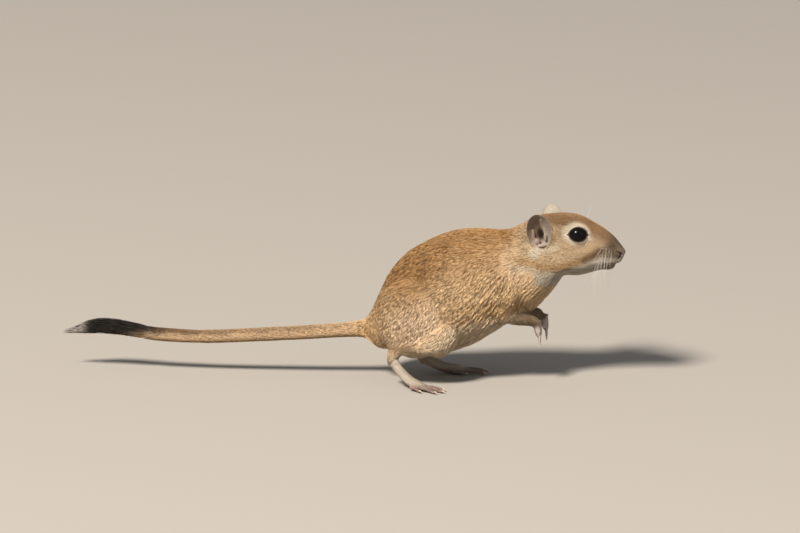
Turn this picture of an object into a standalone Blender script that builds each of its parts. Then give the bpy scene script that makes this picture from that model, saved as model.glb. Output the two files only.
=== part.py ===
"""A life-size gerbil: a sandy jird that leans forward on its hind feet, its forepaws held up under
its chest and its tail out behind. It is a still model, in metres, with +Z up. The animal faces +X,
its right side is towards -Y, and the floor is z = 0.

The flesh is modelled whole, out to the surface of the coat, as lofted masses that are fused and
smoothed, and is then parted by thin cuts into the pieces that a person would name. Sizes are in
millimetres, in a frame whose x = 0 is the root of the tail; the last step moves the finished
animal so that the origin is under the middle of its box.
"""

import math

import bmesh
import bpy
from mathutils import Matrix, Vector

MM = 0.001
GAP = 0.3  # the thin cut between neighbouring pieces

# Trunk, from the root of the tail to inside the skull. Each station is a leaning cross-section:
# x and z of its top, x and z of its bottom, y of its middle, and its half width.
TRUNK = (
    (0.5, 26.0, 1.4, 18.4, 3.5, 4.6),
    (3.2, 30.2, 4.0, 15.6, 3.4, 11.0),
    (6.4, 37.4, 8.1, 13.4, 3.2, 15.4),
    (11.4, 48.4, 14.8, 13.6, 2.8, 18.4),
    (19.0, 57.2, 23.8, 12.4, 2.2, 19.8),
    (29.0, 63.4, 32.8, 11.4, 1.5, 20.2),
    (40.5, 67.9, 42.8, 13.7, 0.6, 20.2),
    (51.8, 69.0, 53.6, 19.2, -0.3, 19.2),
    (62.1, 68.7, 65.2, 26.6, -1.1, 17.2),
    (70.2, 69.8, 76.6, 32.6, -1.9, 15.2),
    (76.2, 72.6, 82.6, 39.2, -3.0, 13.4),
    (82.3, 75.0, 87.0, 45.4, -4.4, 12.0),
    (87.0, 71.8, 89.6, 50.0, -5.4, 9.4),
)
TRUNK_PEAR = 0.13  # how much wider a section is below its middle than above

# Head, in its own frame: u runs from the back of the skull to the nose, v to the animal's left and
# w up. A station is u, w of its middle, half height and half width.
SKULL_BACK = Vector((75.2, -2.0, 62.7))
HEAD_YAW = -16.0  # degrees, the nose turned to the animal's right
HEAD_PITCH = 2.0  # degrees, the nose dipped
SKULL = (
    (-8.0, -1.0, 8.4, 8.0),
    (0.0, 0.0, 11.6, 10.6),
    (5.0, 0.5, 13.2, 11.8),
    (9.0, 0.8, 13.6, 12.2),
    (13.5, 1.2, 13.9, 12.2),
    (18.0, 1.2, 14.1, 11.7),
    (22.5, 1.0, 13.7, 10.7),
    (27.0, 0.8, 12.3, 9.1),
    (31.5, 0.6, 10.4, 7.2),
    (34.5, 0.3, 8.9, 6.0),
    (37.2, 0.0, 7.0, 5.0),
    (39.6, -0.3, 5.0, 4.0),
    (41.6, -0.5, 3.2, 2.9),
    (43.2, -0.5, 1.3, 1.4),
)
SKULL_PEAR = 0.12
# Swellings of the face: name, centre (u, v, w) with v on both sides unless it is 0, and half sizes.
FACE = (
    ("cheek", (12.0, 8.0, -4.6), (9.6, 4.6, 7.2)),
    ("whisker_pad", (36.0, 3.3, -2.4), (4.6, 2.7, 3.7)),
    ("chin", (33.6, 0.0, -6.7), (5.2, 3.3, 2.5)),
    ("nose_pad", (41.5, 0.0, -0.2), (2.0, 2.0, 1.9)),
)
NOSTRIL_AT = (42.3, 1.55, -0.9)
NOSTRIL = (1.1, 0.6, 0.75)
MOUTH_LINE = (
    (29.5, -6.0, -6.9),
    (32.0, -5.0, -6.8),
    (34.8, -4.1, -6.5),
    (38.0, -2.5, -5.7),
    (39.7, 0.0, -5.1),
)
MOUTH_DEPTH = 0.45
PHILTRUM = ((42.9, 0.0, -2.2), (42.2, 0.0, -3.4), (40.9, 0.0, -4.6), (39.4, 0.0, -5.5))

# Eye: a ball in a socket, behind lids that leave an almond-shaped opening.
EYE_AT = (22.6, 6.2, 7.0)
EYE_RADIUS = 4.3
EYE_FACING = (0.30, 0.92, 0.25)
LID = 0.95  # thickness of the lids over the ball
OPENING_HALF_LENGTH = 4.3
OPENING_HALF_HEIGHT = 3.35

# Ear: a cupped leaf, set on the side of the skull.
EAR_ROOT = (6.8, 11.0, 4.2)
EAR_UP = (-0.14, 0.16, 0.97)
EAR_FACING = (0.30, 0.94, 0.12)
EAR_RISE = 3.7  # the middle of the cup over its root
EAR_HALF_WIDTH = 5.8
EAR_HALF_HEIGHT = 8.5
EAR_DEPTH = 4.2
EAR_WALL = 0.9

# Haunch and knee: middle and half sizes of the two swellings on each side.
HAUNCH_LEAN = 24.0  # degrees, the haunch's top leaning back
HAUNCH = {
    "right": ((21.6, -11.6, 30.0), (17.0, 11.2, 18.5)),
    "left": ((24.6, 14.6, 29.4), (17.5, 11.2, 18.5)),
}
KNEE = {
    "right": ((33.0, -16.8, 21.6), (9.0, 5.8, 8.2)),
    "left": ((38.6, 17.2, 20.4), (9.0, 5.8, 8.2)),
}

# Limbs. Every station is a joint or a swelling: x, y, z, half width across and half depth.
LOWER_LEG = {
    "right": (
        (34.0, -18.0, 20.0, 5.0, 5.4),
        (27.0, -17.8, 18.8, 4.8, 5.2),
        (19.5, -16.4, 17.4, 4.0, 4.4),
        (13.6, -15.2, 15.6, 2.9, 3.5),
        (12.1, -15.0, 12.8, 2.5, 2.9),
        (13.6, -16.4, 10.4, 2.4, 2.5),
    ),
    "left": (
        (39.5, 19.2, 18.6, 4.6, 5.4),
        (33.5, 17.6, 16.0, 4.2, 4.8),
        (28.4, 15.2, 13.0, 3.4, 3.9),
        (25.0, 13.4, 9.6, 2.7, 3.4),
        (25.6, 12.8, 6.8, 2.5, 3.0),
        (29.0, 12.2, 5.6, 2.4, 2.5),
    ),
}
FOOT = {
    "right": (
        (11.2, -14.6, 13.6, 1.7, 2.1),
        (12.2, -15.4, 11.9, 2.4, 2.6),
        (15.0, -17.8, 8.1, 2.5, 2.4),
        (19.4, -21.0, 4.0, 2.9, 2.3),
        (23.4, -24.0, 1.95, 3.6, 2.3),
        (25.8, -25.8, 1.5, 3.0, 1.8),
    ),
    "left": (
        (24.8, 13.2, 7.8, 1.7, 2.1),
        (26.6, 12.9, 6.6, 2.4, 2.7),
        (31.4, 11.8, 4.3, 2.5, 2.5),
        (36.6, 10.9, 2.4, 2.9, 2.5),
        (42.2, 10.4, 1.95, 3.6, 2.3),
        (44.8, 10.4, 1.5, 3.0, 1.8),
    ),
}
TOE_HEADING = {"right": -34.0, "left": 4.0}  # degrees from +X, seen from above
# Toes from the inner to the outer one: turn from the heading, offset across, length, and how far
# back from the front of the ball it starts.
TOES = (
    (20.0, 2.9, 5.2, 4.6),
    (11.0, 1.9, 9.6, 0.6),
    (1.0, 0.2, 10.8, 0.0),
    (-9.0, -1.6, 9.8, 0.5),
    (-19.0, -2.9, 6.4, 3.8),
)
TOE_HALF_WIDTH = 0.95
TOE_CLAW = 2.4
TOE_HEIGHT = 1.12  # a toe's middle over the floor, low enough to be cut flat under its pad

ARM = {
    "right": (
        (66.0, -11.6, 48.0, 5.4, 6.6),
        (64.0, -13.2, 41.0, 5.4, 7.4),
        (62.0, -13.8, 34.4, 4.6, 5.8),
        (62.6, -13.6, 31.0, 3.9, 4.4),
    ),
    "left": (
        (68.0, 8.6, 48.0, 5.4, 6.6),
        (66.4, 10.2, 41.0, 5.4, 7.4),
        (64.4, 10.4, 34.4, 4.6, 5.8),
        (65.2, 10.0, 31.0, 3.9, 4.4),
    ),
}
FOREARM = {
    "right": (
        (61.6, -13.6, 32.4, 3.6, 4.4),
        (66.4, -12.8, 30.8, 3.4, 4.0),
        (71.6, -11.2, 29.4, 2.8, 3.2),
        (75.8, -9.9, 28.4, 2.3, 2.6),
        (77.8, -9.4, 26.0, 2.0, 2.2),
    ),
    "left": (
        (64.0, 10.0, 32.4, 3.6, 4.4),
        (69.0, 8.6, 30.8, 3.4, 4.0),
        (74.4, 6.8, 29.4, 2.8, 3.2),
        (78.8, 5.6, 28.4, 2.3, 2.6),
        (81.0, 5.2, 26.0, 2.0, 2.2),
    ),
}
WRIST = {"right": (77.4, -9.5, 27.0), "left": (80.6, 5.3, 27.0)}
HAND_HANG = (0.16, 0.0, -0.987)  # the way the hanging hand points
# Down the palm: distance from the wrist, half width across and half thickness.
PALM = ((-1.6, 1.9, 1.9), (0.6, 2.1, 1.9), (3.2, 2.6, 1.7), (5.2, 2.4, 1.4))
# Fingers from the inner to the outer one: turn, offset across, length.
FINGERS = ((10.0, 1.8, 4.0), (4.0, 0.65, 4.9), (-4.0, -0.65, 4.7), (-12.0, -1.8, 3.7))
FINGER_HALF_WIDTH = 0.62
FINGER_CLAW = 1.5

# Tail: x, y, z and radius, out to the coat, from its root to where the tuft begins.
TAIL = (
    (1.5, 3.5, 22.3, 4.4),
    (-3.0, 3.7, 22.0, 3.75),
    (-11.2, 4.1, 21.3, 3.35),
    (-29.2, 5.6, 19.8, 3.25),
    (-42.8, 7.2, 18.8, 3.15),
    (-58.5, 9.4, 17.6, 3.05),
    (-74.2, 12.0, 16.6, 3.0),
    (-94.5, 15.6, 17.0, 3.05),
    (-105.8, 17.6, 18.7, 3.0),
    (-114.0, 19.2, 19.6, 2.4),
    (-121.0, 20.6, 19.7, 1.7),
    (-126.5, 21.6, 18.6, 1.0),
)
TAIL_CUTS = (0.02, 0.30, 0.60, 0.79, 1.0)  # shares of the tail's length where its pieces end
TAIL_PIECES = ("tail_root", "tail_middle", "tail_end", "tail_tuft")
TAIL_SIDES = 16
# The tuft's locks stand in tiers: where each tier is rooted along the tail, how many locks it has,
# their length and how far their tips stand off the tail's own line.
TIERS = (
    (0.80, 5, 15.0, 3.4),
    (0.855, 5, 15.0, 3.9),
    (0.90, 5, 15.0, 3.6),
    (0.94, 5, 14.0, 2.3),
    (0.975, 3, 13.0, 1.2),
)
LOCK_HALF_WIDTH = 1.5
LOCK_HALF_THICKNESS = 0.42

# Where the whole flesh is parted.
HEAD_CUT = ((75.0, -3.0, 60.0), (0.93, -0.20, 0.28))  # a point and the way the head lies
NECK_CUT = ((69.0, -1.5, 52.0), (0.90, -0.08, 0.42))
TAIL_CUT = ((-0.4, 3.6, 22.2), (-1.0, 0.06, -0.06))
THIGH_REGION = {
    "right": ((23.0, -19.6, 28.0), (22.5, 12.6, 20.5)),
    "left": ((27.0, 23.0, 27.0), (23.5, 12.6, 20.5)),
}
SHANK_REGION = {
    "right": ((20.0, -17.6, 13.6), (15.5, 8.6, 6.2)),
    "left": ((33.0, 16.4, 10.6), (14.0, 9.6, 6.8)),
}
ANKLE_CUT = {
    "right": ((12.2, -15.8, 11.3), (0.45, -0.34, -0.82)),
    "left": ((27.2, 12.6, 6.4), (0.92, -0.08, -0.38)),
}
SHOULDER_REGION = {
    "right": ((65.0, -14.6, 41.0), (9.4, 7.6, 14.0)),
    "left": ((67.2, 11.0, 41.0), (9.4, 7.6, 14.0)),
}
FOREARM_REGION = {
    "right": ((70.4, -12.0, 29.2), (10.6, 6.4, 5.4)),
    "left": ((73.0, 7.8, 29.2), (10.6, 6.4, 5.4)),
}
WRIST_CUT = {
    "right": ((77.6, -9.5, 26.4), (0.16, 0.0, -0.987)),
    "left": ((80.8, 5.3, 26.4), (0.16, 0.0, -0.987)),
}

# How finely the flesh is fused, and how many triangles its surfaces keep.
BODY_VOXEL, BODY_ROUNDS, BODY_TRIANGLES = 0.7, 9, 2900
HEAD_VOXEL, HEAD_ROUNDS, HEAD_TRIANGLES = 0.36, 4, 2800
FOOT_VOXEL, FOOT_ROUNDS, FOOT_TRIANGLES = 0.26, 2, 700
HAND_VOXEL, HAND_ROUNDS, HAND_TRIANGLES = 0.2, 2, 480
REACH = 300.0  # larger than the animal

COLOURS = {
    "sandy fur": (0.50, 0.30, 0.13, 0.85),
    "pale fur": (0.72, 0.62, 0.48, 0.85),
    "black fur": (0.02, 0.015, 0.012, 0.8),
    "eye": (0.006, 0.005, 0.005, 0.08),
    "ear skin": (0.42, 0.25, 0.20, 0.6),
}


# Small tools for meshes

def clear_scene():
    """Removes what the scene holds at the start."""
    for thing in list(bpy.data.objects):
        bpy.data.objects.remove(thing)


def add_object(name, mesh):
    """Links a new object for the mesh."""
    made = bpy.data.objects.new(name, mesh)
    bpy.context.scene.collection.objects.link(made)
    return made


def solid(name, points, faces):
    """A closed mesh from points in millimetres, with its faces turned outwards."""
    mesh = bpy.data.meshes.new(name)
    mesh.from_pydata([tuple(Vector(p) * MM) for p in points], [], faces)
    shape = bmesh.new()
    shape.from_mesh(mesh)
    bmesh.ops.recalc_face_normals(shape, faces=shape.faces)
    shape.to_mesh(mesh)
    shape.free()
    return add_object(name, mesh)


def loft(name, rings):
    """A closed skin over rings of equally many points, capped at both ends."""
    sides = len(rings[0])
    points = [p for ring in rings for p in ring]
    faces = [list(range(sides)), list(range(len(points) - sides, len(points)))]
    for r in range(len(rings) - 1):
        for k in range(sides):
            after = (k + 1) % sides
            faces.append(
                [r * sides + k, r * sides + after, (r + 1) * sides + after, (r + 1) * sides + k]
            )
    return solid(name, points, faces)


def eased(rows, per_span):
    """Rows of numbers with a smooth Catmull-Rom curve's rows put in between them."""
    out = []
    for i in range(len(rows) - 1):
        before = rows[max(i - 1, 0)]
        a, b = rows[i], rows[i + 1]
        after = rows[min(i + 2, len(rows) - 1)]
        for k in range(per_span):
            t = k / per_span
            out.append(
                tuple(
                    0.5
                    * (
                        2 * q
                        + (r - p) * t
                        + (2 * p - 5 * q + 4 * r - s) * t * t
                        + (3 * q - p - 3 * r + s) * t * t * t
                    )
                    for p, q, r, s in zip(before, a, b, after)
                )
            )
    out.append(tuple(rows[-1]))
    return out


def ellipse(middle, across, upward, sides, pear=0.0):
    """A ring round middle with the half axes across and upward, wider below by the share pear."""
    ring = []
    for k in range(sides):
        angle = 2 * math.pi * k / sides
        low = 1 - pear * math.sin(angle)
        ring.append(middle + across * math.cos(angle) * low + upward * math.sin(angle))
    return ring


def limb(name, stations, sides=14, per_span=4, upright=(0.0, 0.0, 1.0)):
    """A tube with an oval section through stations of x, y, z, half width and half depth. Its
    width lies across both its own line and upright."""
    rows = eased(stations, per_span)
    rings = []
    for i, row in enumerate(rows):
        behind = Vector(rows[max(i - 1, 0)][:3])
        ahead = Vector(rows[min(i + 1, len(rows) - 1)][:3])
        line = (ahead - behind).normalized()
        across = line.cross(Vector(upright)).normalized()
        depth = across.cross(line)
        rings.append(ellipse(Vector(row[:3]), across * row[3], depth * row[4], sides))
    return loft(name, rings)


def ball(name, middle, half_sizes, turn=None, segments=24, rings=14):
    """An ellipsoid with the half sizes, turned by a matrix."""
    mesh = bpy.data.meshes.new(name)
    shape = bmesh.new()
    bmesh.ops.create_uvsphere(shape, u_segments=segments, v_segments=rings, radius=1.0)
    place = Matrix.Translation(Vector(middle) * MM) @ (turn.to_4x4() if turn else Matrix())
    stretch = Matrix.Diagonal((*(Vector(half_sizes) * MM), 1.0))
    bmesh.ops.transform(shape, matrix=place @ stretch, verts=shape.verts)
    shape.to_mesh(mesh)
    shape.free()
    return add_object(name, mesh)


def block(name, low, high):
    """A box between two corners."""
    low, high = Vector(low), Vector(high)
    middle, half = (low + high) / 2, (high - low) / 2
    mesh = bpy.data.meshes.new(name)
    shape = bmesh.new()
    bmesh.ops.create_cube(shape, size=2.0)
    stretch = Matrix.Translation(middle * MM) @ Matrix.Diagonal((*(half * MM), 1.0))
    bmesh.ops.transform(shape, matrix=stretch, verts=shape.verts)
    shape.to_mesh(mesh)
    shape.free()
    return add_object(name, mesh)


def beyond(name, point, direction, back=0.0):
    """A great block that fills everything past a plane, which is moved back against direction."""
    block_there = block(name, (-REACH, -REACH, 0.0), (REACH, REACH, 2 * REACH))
    direction = Vector(direction).normalized()
    turn = direction.to_track_quat("Z", "Y").to_matrix().to_4x4()
    block_there.data.transform(
        Matrix.Translation((Vector(point) - direction * back) * MM) @ turn
    )
    return block_there


def settle(thing):
    """Turns what the modifiers show into the object's own mesh."""
    graph = bpy.context.evaluated_depsgraph_get()
    mesh = bpy.data.meshes.new_from_object(thing.evaluated_get(graph))
    thing.modifiers.clear()
    thing.data = mesh


def copy_of(thing, name):
    """A second object with a mesh of its own."""
    return add_object(name, thing.data.copy())


def joined(name, forms):
    """One object that holds the forms' meshes; the forms are removed."""
    shape = bmesh.new()
    for form in forms:
        shape.from_mesh(form.data)
        bpy.data.objects.remove(form)
    mesh = bpy.data.meshes.new(name)
    shape.to_mesh(mesh)
    shape.free()
    return add_object(name, mesh)


def fused(name, forms, voxel, rounds):
    """The forms made into one skin, whose creases are smoothed by a number of rounds."""
    whole = joined(name, forms)
    remesh = whole.modifiers.new("one skin", "REMESH")
    remesh.mode = "VOXEL"
    remesh.voxel_size = voxel * MM
    soften = whole.modifiers.new("soft creases", "SMOOTH")
    soften.factor = 0.5
    soften.iterations = rounds
    settle(whole)
    return whole


def thinned(thing, triangles):
    """Leaves about this many triangles, most of them where the surface bends."""
    count = sum(len(face.vertices) - 2 for face in thing.data.polygons)
    fewer = thing.modifiers.new("fewer faces", "DECIMATE")
    fewer.ratio = min(1.0, triangles / count)
    fewer.use_collapse_triangulate = True
    settle(thing)
    return thing


def bounds(thing):
    """Lowest and highest corner of the object's mesh."""
    corners = [v.co for v in thing.data.vertices]
    low = Vector([min(c[i] for c in corners) for i in range(3)])
    high = Vector([max(c[i] for c in corners) for i in range(3)])
    return low, high


def apart(thing, other):
    """Whether the boxes round two objects don't meet."""
    (low, high), (other_low, other_high) = bounds(thing), bounds(other)
    return any(low[i] > other_high[i] or high[i] < other_low[i] for i in range(3))


def carve(thing, cutter, operation="DIFFERENCE", solver="EXACT"):
    """Cuts the thing by the cutter, or keeps what both share, and removes the cutter."""
    if operation != "DIFFERENCE" or not apart(thing, cutter):
        cut = thing.modifiers.new("cut", "BOOLEAN")
        cut.operation = operation
        cut.object = cutter
        cut.solver = solver
        settle(thing)
    bpy.data.objects.remove(cutter)


def keep_largest(thing):
    """Drops every loose scrap beside the largest closed surface."""
    shape = bmesh.new()
    shape.from_mesh(thing.data)
    left = set(shape.verts)
    groups = []
    while left:
        group, edge = set(), [left.pop()]
        while edge:
            vert = edge.pop()
            group.add(vert)
            for neighbour in (e.other_vert(vert) for e in vert.link_edges):
                if neighbour in left:
                    left.remove(neighbour)
                    edge.append(neighbour)
        groups.append(group)
    groups.sort(key=len)
    scraps = [vert for group in groups[:-1] for vert in group]
    bmesh.ops.delete(shape, geom=scraps, context="VERTS")
    shape.to_mesh(thing.data)
    shape.free()


def material(name):
    """The finish of that name."""
    found = bpy.data.materials.get(name)
    if found:
        return found
    red, green, blue, roughness = COLOURS[name]
    made = bpy.data.materials.new(name)
    made.use_nodes = True
    shader = made.node_tree.nodes["Principled BSDF"]
    shader.inputs["Base Color"].default_value = (red, green, blue, 1.0)
    shader.inputs["Roughness"].default_value = roughness
    shader.inputs["Metallic"].default_value = 0.0
    return made


def finish_node(thing, name, finish):
    """Names the piece, gives it its material, and shades it smooth but for its cut edges."""
    keep_largest(thing)
    thing.name = name
    thing.data.name = name
    thing.data.materials.clear()
    thing.data.materials.append(material(finish))
    thing.data.shade_smooth()
    thing.data.set_sharp_from_angle(angle=math.radians(40))
    return thing


# The head's own frame

def head_frame():
    """From the head's u, v, w to x, y, z, in millimetres."""
    yaw = Matrix.Rotation(math.radians(HEAD_YAW), 4, "Z")
    pitch = Matrix.Rotation(math.radians(HEAD_PITCH), 4, "Y")
    return Matrix.Translation(SKULL_BACK) @ yaw @ pitch


def on_side(where, side):
    """A place of the left side, mirrored for the right."""
    u, v, w = where
    return Vector((u, v if side == "left" else -v, w))


def in_head(where):
    return head_frame() @ Vector(where)


def head_turn():
    return head_frame().to_3x3()


# Masses of the body

def trunk_form():
    """Rump, back, belly, chest and neck."""
    rings = []
    for top_x, top_z, low_x, low_z, y, half_width in eased(TRUNK, 4):
        top, low = Vector((top_x, y, top_z)), Vector((low_x, y, low_z))
        across = Vector((0.0, half_width, 0.0))
        rings.append(ellipse((top + low) / 2, across, (top - low) / 2, 40, TRUNK_PEAR))
    return loft("trunk", rings)


def skull_form():
    """The head's main mass, from the nape to the tip of the nose."""
    rings = []
    for u, w, half_height, half_width in eased(SKULL, 4):
        across = head_turn() @ Vector((0.0, half_width, 0.0))
        upward = head_turn() @ Vector((0.0, 0.0, half_height))
        rings.append(ellipse(in_head((u, 0.0, w)), across, upward, 36, SKULL_PEAR))
    return loft("skull", rings)


def face_forms(wanted):
    """The swellings of the face that are wanted, one each side or one on the middle line."""
    forms = []
    for name, where, half_sizes in FACE:
        if name not in wanted:
            continue
        for side in ("right", "left") if where[1] else ("left",):
            middle = in_head(on_side(where, side))
            forms.append(ball(name, middle, half_sizes, head_turn()))
    return forms


def body_skin():
    """The whole flesh but the hands, feet, ears and tail."""
    forms = [trunk_form(), skull_form(), *face_forms(("cheek",))]
    lean = Matrix.Rotation(math.radians(-HAUNCH_LEAN), 3, "Y")
    for side in ("right", "left"):
        forms.append(ball("haunch", *HAUNCH[side], lean, 36, 20))
        forms.append(ball("knee", *KNEE[side], lean))
        forms.append(limb("lower leg", LOWER_LEG[side], upright=(0.0, 1.0, 0.0)))
        forms.append(limb("upper arm", ARM[side], upright=(0.0, 1.0, 0.0)))
        forms.append(limb("forearm", FOREARM[side], upright=(0.0, 1.0, 0.0)))
    forms.append(limb("root of the tail", [(7.0, 3.2, 22.8, 6.0, 6.0), *with_depth(TAIL[:3])]))
    return fused("body skin", forms, BODY_VOXEL, BODY_ROUNDS)


def with_depth(stations):
    """Round stations, with their radius given as half width and half depth."""
    return [(x, y, z, radius, radius) for x, y, z, radius in stations]


# Head

def eye_frame(side):
    """The eye's place and axes: along the opening, up the face and out of the head."""
    outward = (head_turn() @ on_side(EYE_FACING, side)).normalized()
    upward = head_turn() @ Vector((0.0, 0.0, 1.0))
    along = upward.cross(outward).normalized()
    turn = Matrix((along, outward.cross(along), outward)).transposed()
    return in_head(on_side(EYE_AT, side)), turn


def eye_opening(side):
    """The almond between the lids, run outwards from the middle of the eye."""
    middle, turn = eye_frame(side)
    rim = []
    count = 20
    for k in range(count):
        angle = 2 * math.pi * k / count
        reach = math.copysign(abs(math.cos(angle)) ** 0.92, math.cos(angle))
        rise = math.copysign(abs(math.sin(angle)) ** 1.25, math.sin(angle))
        rim.append((OPENING_HALF_LENGTH * reach, OPENING_HALF_HEIGHT * rise))
    depths = (0.0, 2 * EYE_RADIUS)
    rings = [[middle + turn @ Vector((x, y, depth)) for x, y in rim] for depth in depths]
    return loft("eye opening", rings)


def groove(name, points, radius):
    """A thin round cutter along points of the head, mirrored to a whole line."""
    rows = eased([(*in_head(p), radius, radius) for p in points], 4)
    return limb(name, rows, sides=8, per_span=1)


def make_head(skin):
    """The head: skull, cheeks, lids, muzzle, lips, chin and nose."""
    near_head = copy_of(skin, "near head")
    carve(near_head, beyond("past the nape", *HEAD_CUT, back=4.0), "INTERSECT")
    forms = [near_head, *face_forms(("whisker_pad", "chin", "nose_pad"))]
    lid_radius = EYE_RADIUS + LID
    for side in ("right", "left"):
        middle, turn = eye_frame(side)
        forms.append(ball("lids", middle, (lid_radius,) * 3, turn))
    head = thinned(fused("head", forms, HEAD_VOXEL, HEAD_ROUNDS), HEAD_TRIANGLES)
    carve(head, beyond("head side", *HEAD_CUT), "INTERSECT")
    for side in ("right", "left"):
        carve(head, ear_recess(side), solver="MANIFOLD")
        middle, turn = eye_frame(side)
        socket = ball("socket", middle, (EYE_RADIUS + GAP,) * 3, turn, 20, 12)
        carve(head, socket, solver="MANIFOLD")
        carve(head, eye_opening(side), solver="MANIFOLD")
        where = in_head(on_side(NOSTRIL_AT, side))
        nostril = ball("nostril", where, NOSTRIL, head_turn(), 12, 8)
        carve(head, nostril, solver="MANIFOLD")
    across = [(u, -v, w) for u, v, w in MOUTH_LINE[-2::-1]]
    carve(head, groove("mouth line", [*MOUTH_LINE, *across], MOUTH_DEPTH), solver="MANIFOLD")
    carve(head, groove("philtrum", PHILTRUM, MOUTH_DEPTH * 0.8), solver="MANIFOLD")
    return finish_node(head, "head", "sandy fur")


def make_eye(side):
    middle, turn = eye_frame(side)
    eye = ball("eye", middle, (EYE_RADIUS,) * 3, turn, 14, 8)
    return finish_node(eye, f"eye_{side}", "eye")


def ear_frame(side):
    """The ear's root and axes: forward along its width, up its height, and out of its cup."""
    upward = (head_turn() @ on_side(EAR_UP, side)).normalized()
    outward = head_turn() @ on_side(EAR_FACING, side)
    outward = (outward - upward * outward.dot(upward)).normalized()
    forward = upward.cross(outward) * (1 if side == "right" else -1)
    return in_head(on_side(EAR_ROOT, side)), forward, upward, outward


def ear_cup(side, wall):
    """The points of one face of the ear, in rings from the bottom of the cup to its rim. The
    outer face lies a wall's thickness behind the inner one."""
    root, forward, upward, outward = ear_frame(side)
    rings = []
    steps, sides = 4, 20
    for step in range(1, steps + 1):
        share = step / steps
        ring = []
        for k in range(sides):
            angle = 2 * math.pi * k / sides
            wide = EAR_HALF_WIDTH * share * math.cos(angle)
            tall = EAR_HALF_HEIGHT * share * math.sin(angle)
            low = max(0.0, -math.sin(angle)) * share
            front = max(0.0, math.cos(angle)) * share
            back = max(0.0, -math.cos(angle)) * share
            deep = -EAR_DEPTH * (1 - share ** 2.4) - 0.9 * low + 1.1 * front - 0.6 * back * back
            thickness = wall * (1.15 - 0.45 * share)
            middle = root + upward * (EAR_RISE + tall + 0.10 * wide * share)
            ring.append(middle + forward * (wide - 0.08 * tall) + outward * (deep - thickness))
        rings.append(ring)
    return rings


def make_ear(side):
    """The ear: a cup whose lower part lies in a recess of the head."""
    inner, outer = ear_cup(side, 0.0), ear_cup(side, EAR_WALL)
    ear = loft("ear", [*inner, *reversed(outer)])
    return finish_node(ear, f"ear_{side}", "ear skin")


def ear_recess(side):
    """What the ear clears in the head: the room of its cup and all that is in front of it."""
    outward = ear_frame(side)[3]
    rings = ear_cup(side, EAR_WALL)
    middle = sum(rings[-1], Vector()) / len(rings[-1])
    grown = []
    for ring in rings:
        grown.append([p + (p - middle).normalized() * GAP * 1.1 for p in ring])
    for ahead in (2.0, 12.0):
        grown.append([p + outward * ahead for p in grown[len(rings) - 1]])
    return loft("ear recess", grown)


# Hands and feet

def digit(name, base, heading, length, radius, claw, lift, droop):
    """A toe or finger that arches over its knuckle, with a tapered claw. base is its root, heading
    the way it points, lift the way its knuckle rises and droop how far its tip drops."""
    side_radius = radius * 1.04
    stations = (
        (0.0, 0.0, side_radius * 1.05, radius * 1.1),
        (0.34, 0.42, side_radius, radius * 1.08),
        (0.66, 0.12, side_radius * 0.92, radius * 0.9),
        (0.90, -0.55, side_radius * 0.98, radius * 0.9),
        (1.0, -0.72, side_radius * 0.6, radius * 0.55),
    )
    rows = []
    for share, rise, across, deep in stations:
        where = base + heading * length * share + lift * (rise * droop)
        rows.append((*where, across, deep))
    tip = base + heading * length * 0.93 - lift * (0.5 * droop)
    point = tip + heading * claw * 0.92 - lift * min(claw * 0.4, 0.85)
    bend = tip + heading * claw * 0.55 + lift * 0.1
    nail = [
        (*tip, 0.5, 0.5),
        (*bend, 0.36, 0.42),
        (*point, 0.14, 0.16),
    ]
    return [
        limb(name, rows, sides=10, per_span=3, upright=lift),
        limb("claw", nail, sides=8, per_span=3, upright=lift),
    ]


def make_foot(side):
    """A long hind foot with its heel off the floor and five toes, flat where it stands."""
    rows = FOOT[side]
    forms = [limb("sole", rows, sides=16)]
    heading_angle = math.radians(TOE_HEADING[side])
    outward = 1 if side == "left" else -1
    forward = Vector((math.cos(heading_angle), math.sin(heading_angle), 0.0))
    inward = Vector((forward.y, -forward.x, 0.0)) * outward
    front = Vector(rows[-1][:3])
    up = Vector((0.0, 0.0, 1.0))
    for turn, offset, length, back in TOES:
        swing = Matrix.Rotation(-math.radians(turn) * outward, 3, "Z")
        base = front + inward * offset - forward * (back + 0.8)
        base.z = TOE_HEIGHT
        heading = swing @ forward
        forms += digit("toe", base, heading, length + 0.8, TOE_HALF_WIDTH, TOE_CLAW, up, 0.75)
    foot = thinned(fused("foot", forms, FOOT_VOXEL, FOOT_ROUNDS), FOOT_TRIANGLES)
    carve(foot, beyond("ankle", *ANKLE_CUT[side]), "INTERSECT")
    carve(foot, block("floor", (-REACH, -REACH, -REACH), (REACH, REACH, 0.0)))
    return finish_node(foot, f"hind_foot_{side}", "pale fur")


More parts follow.
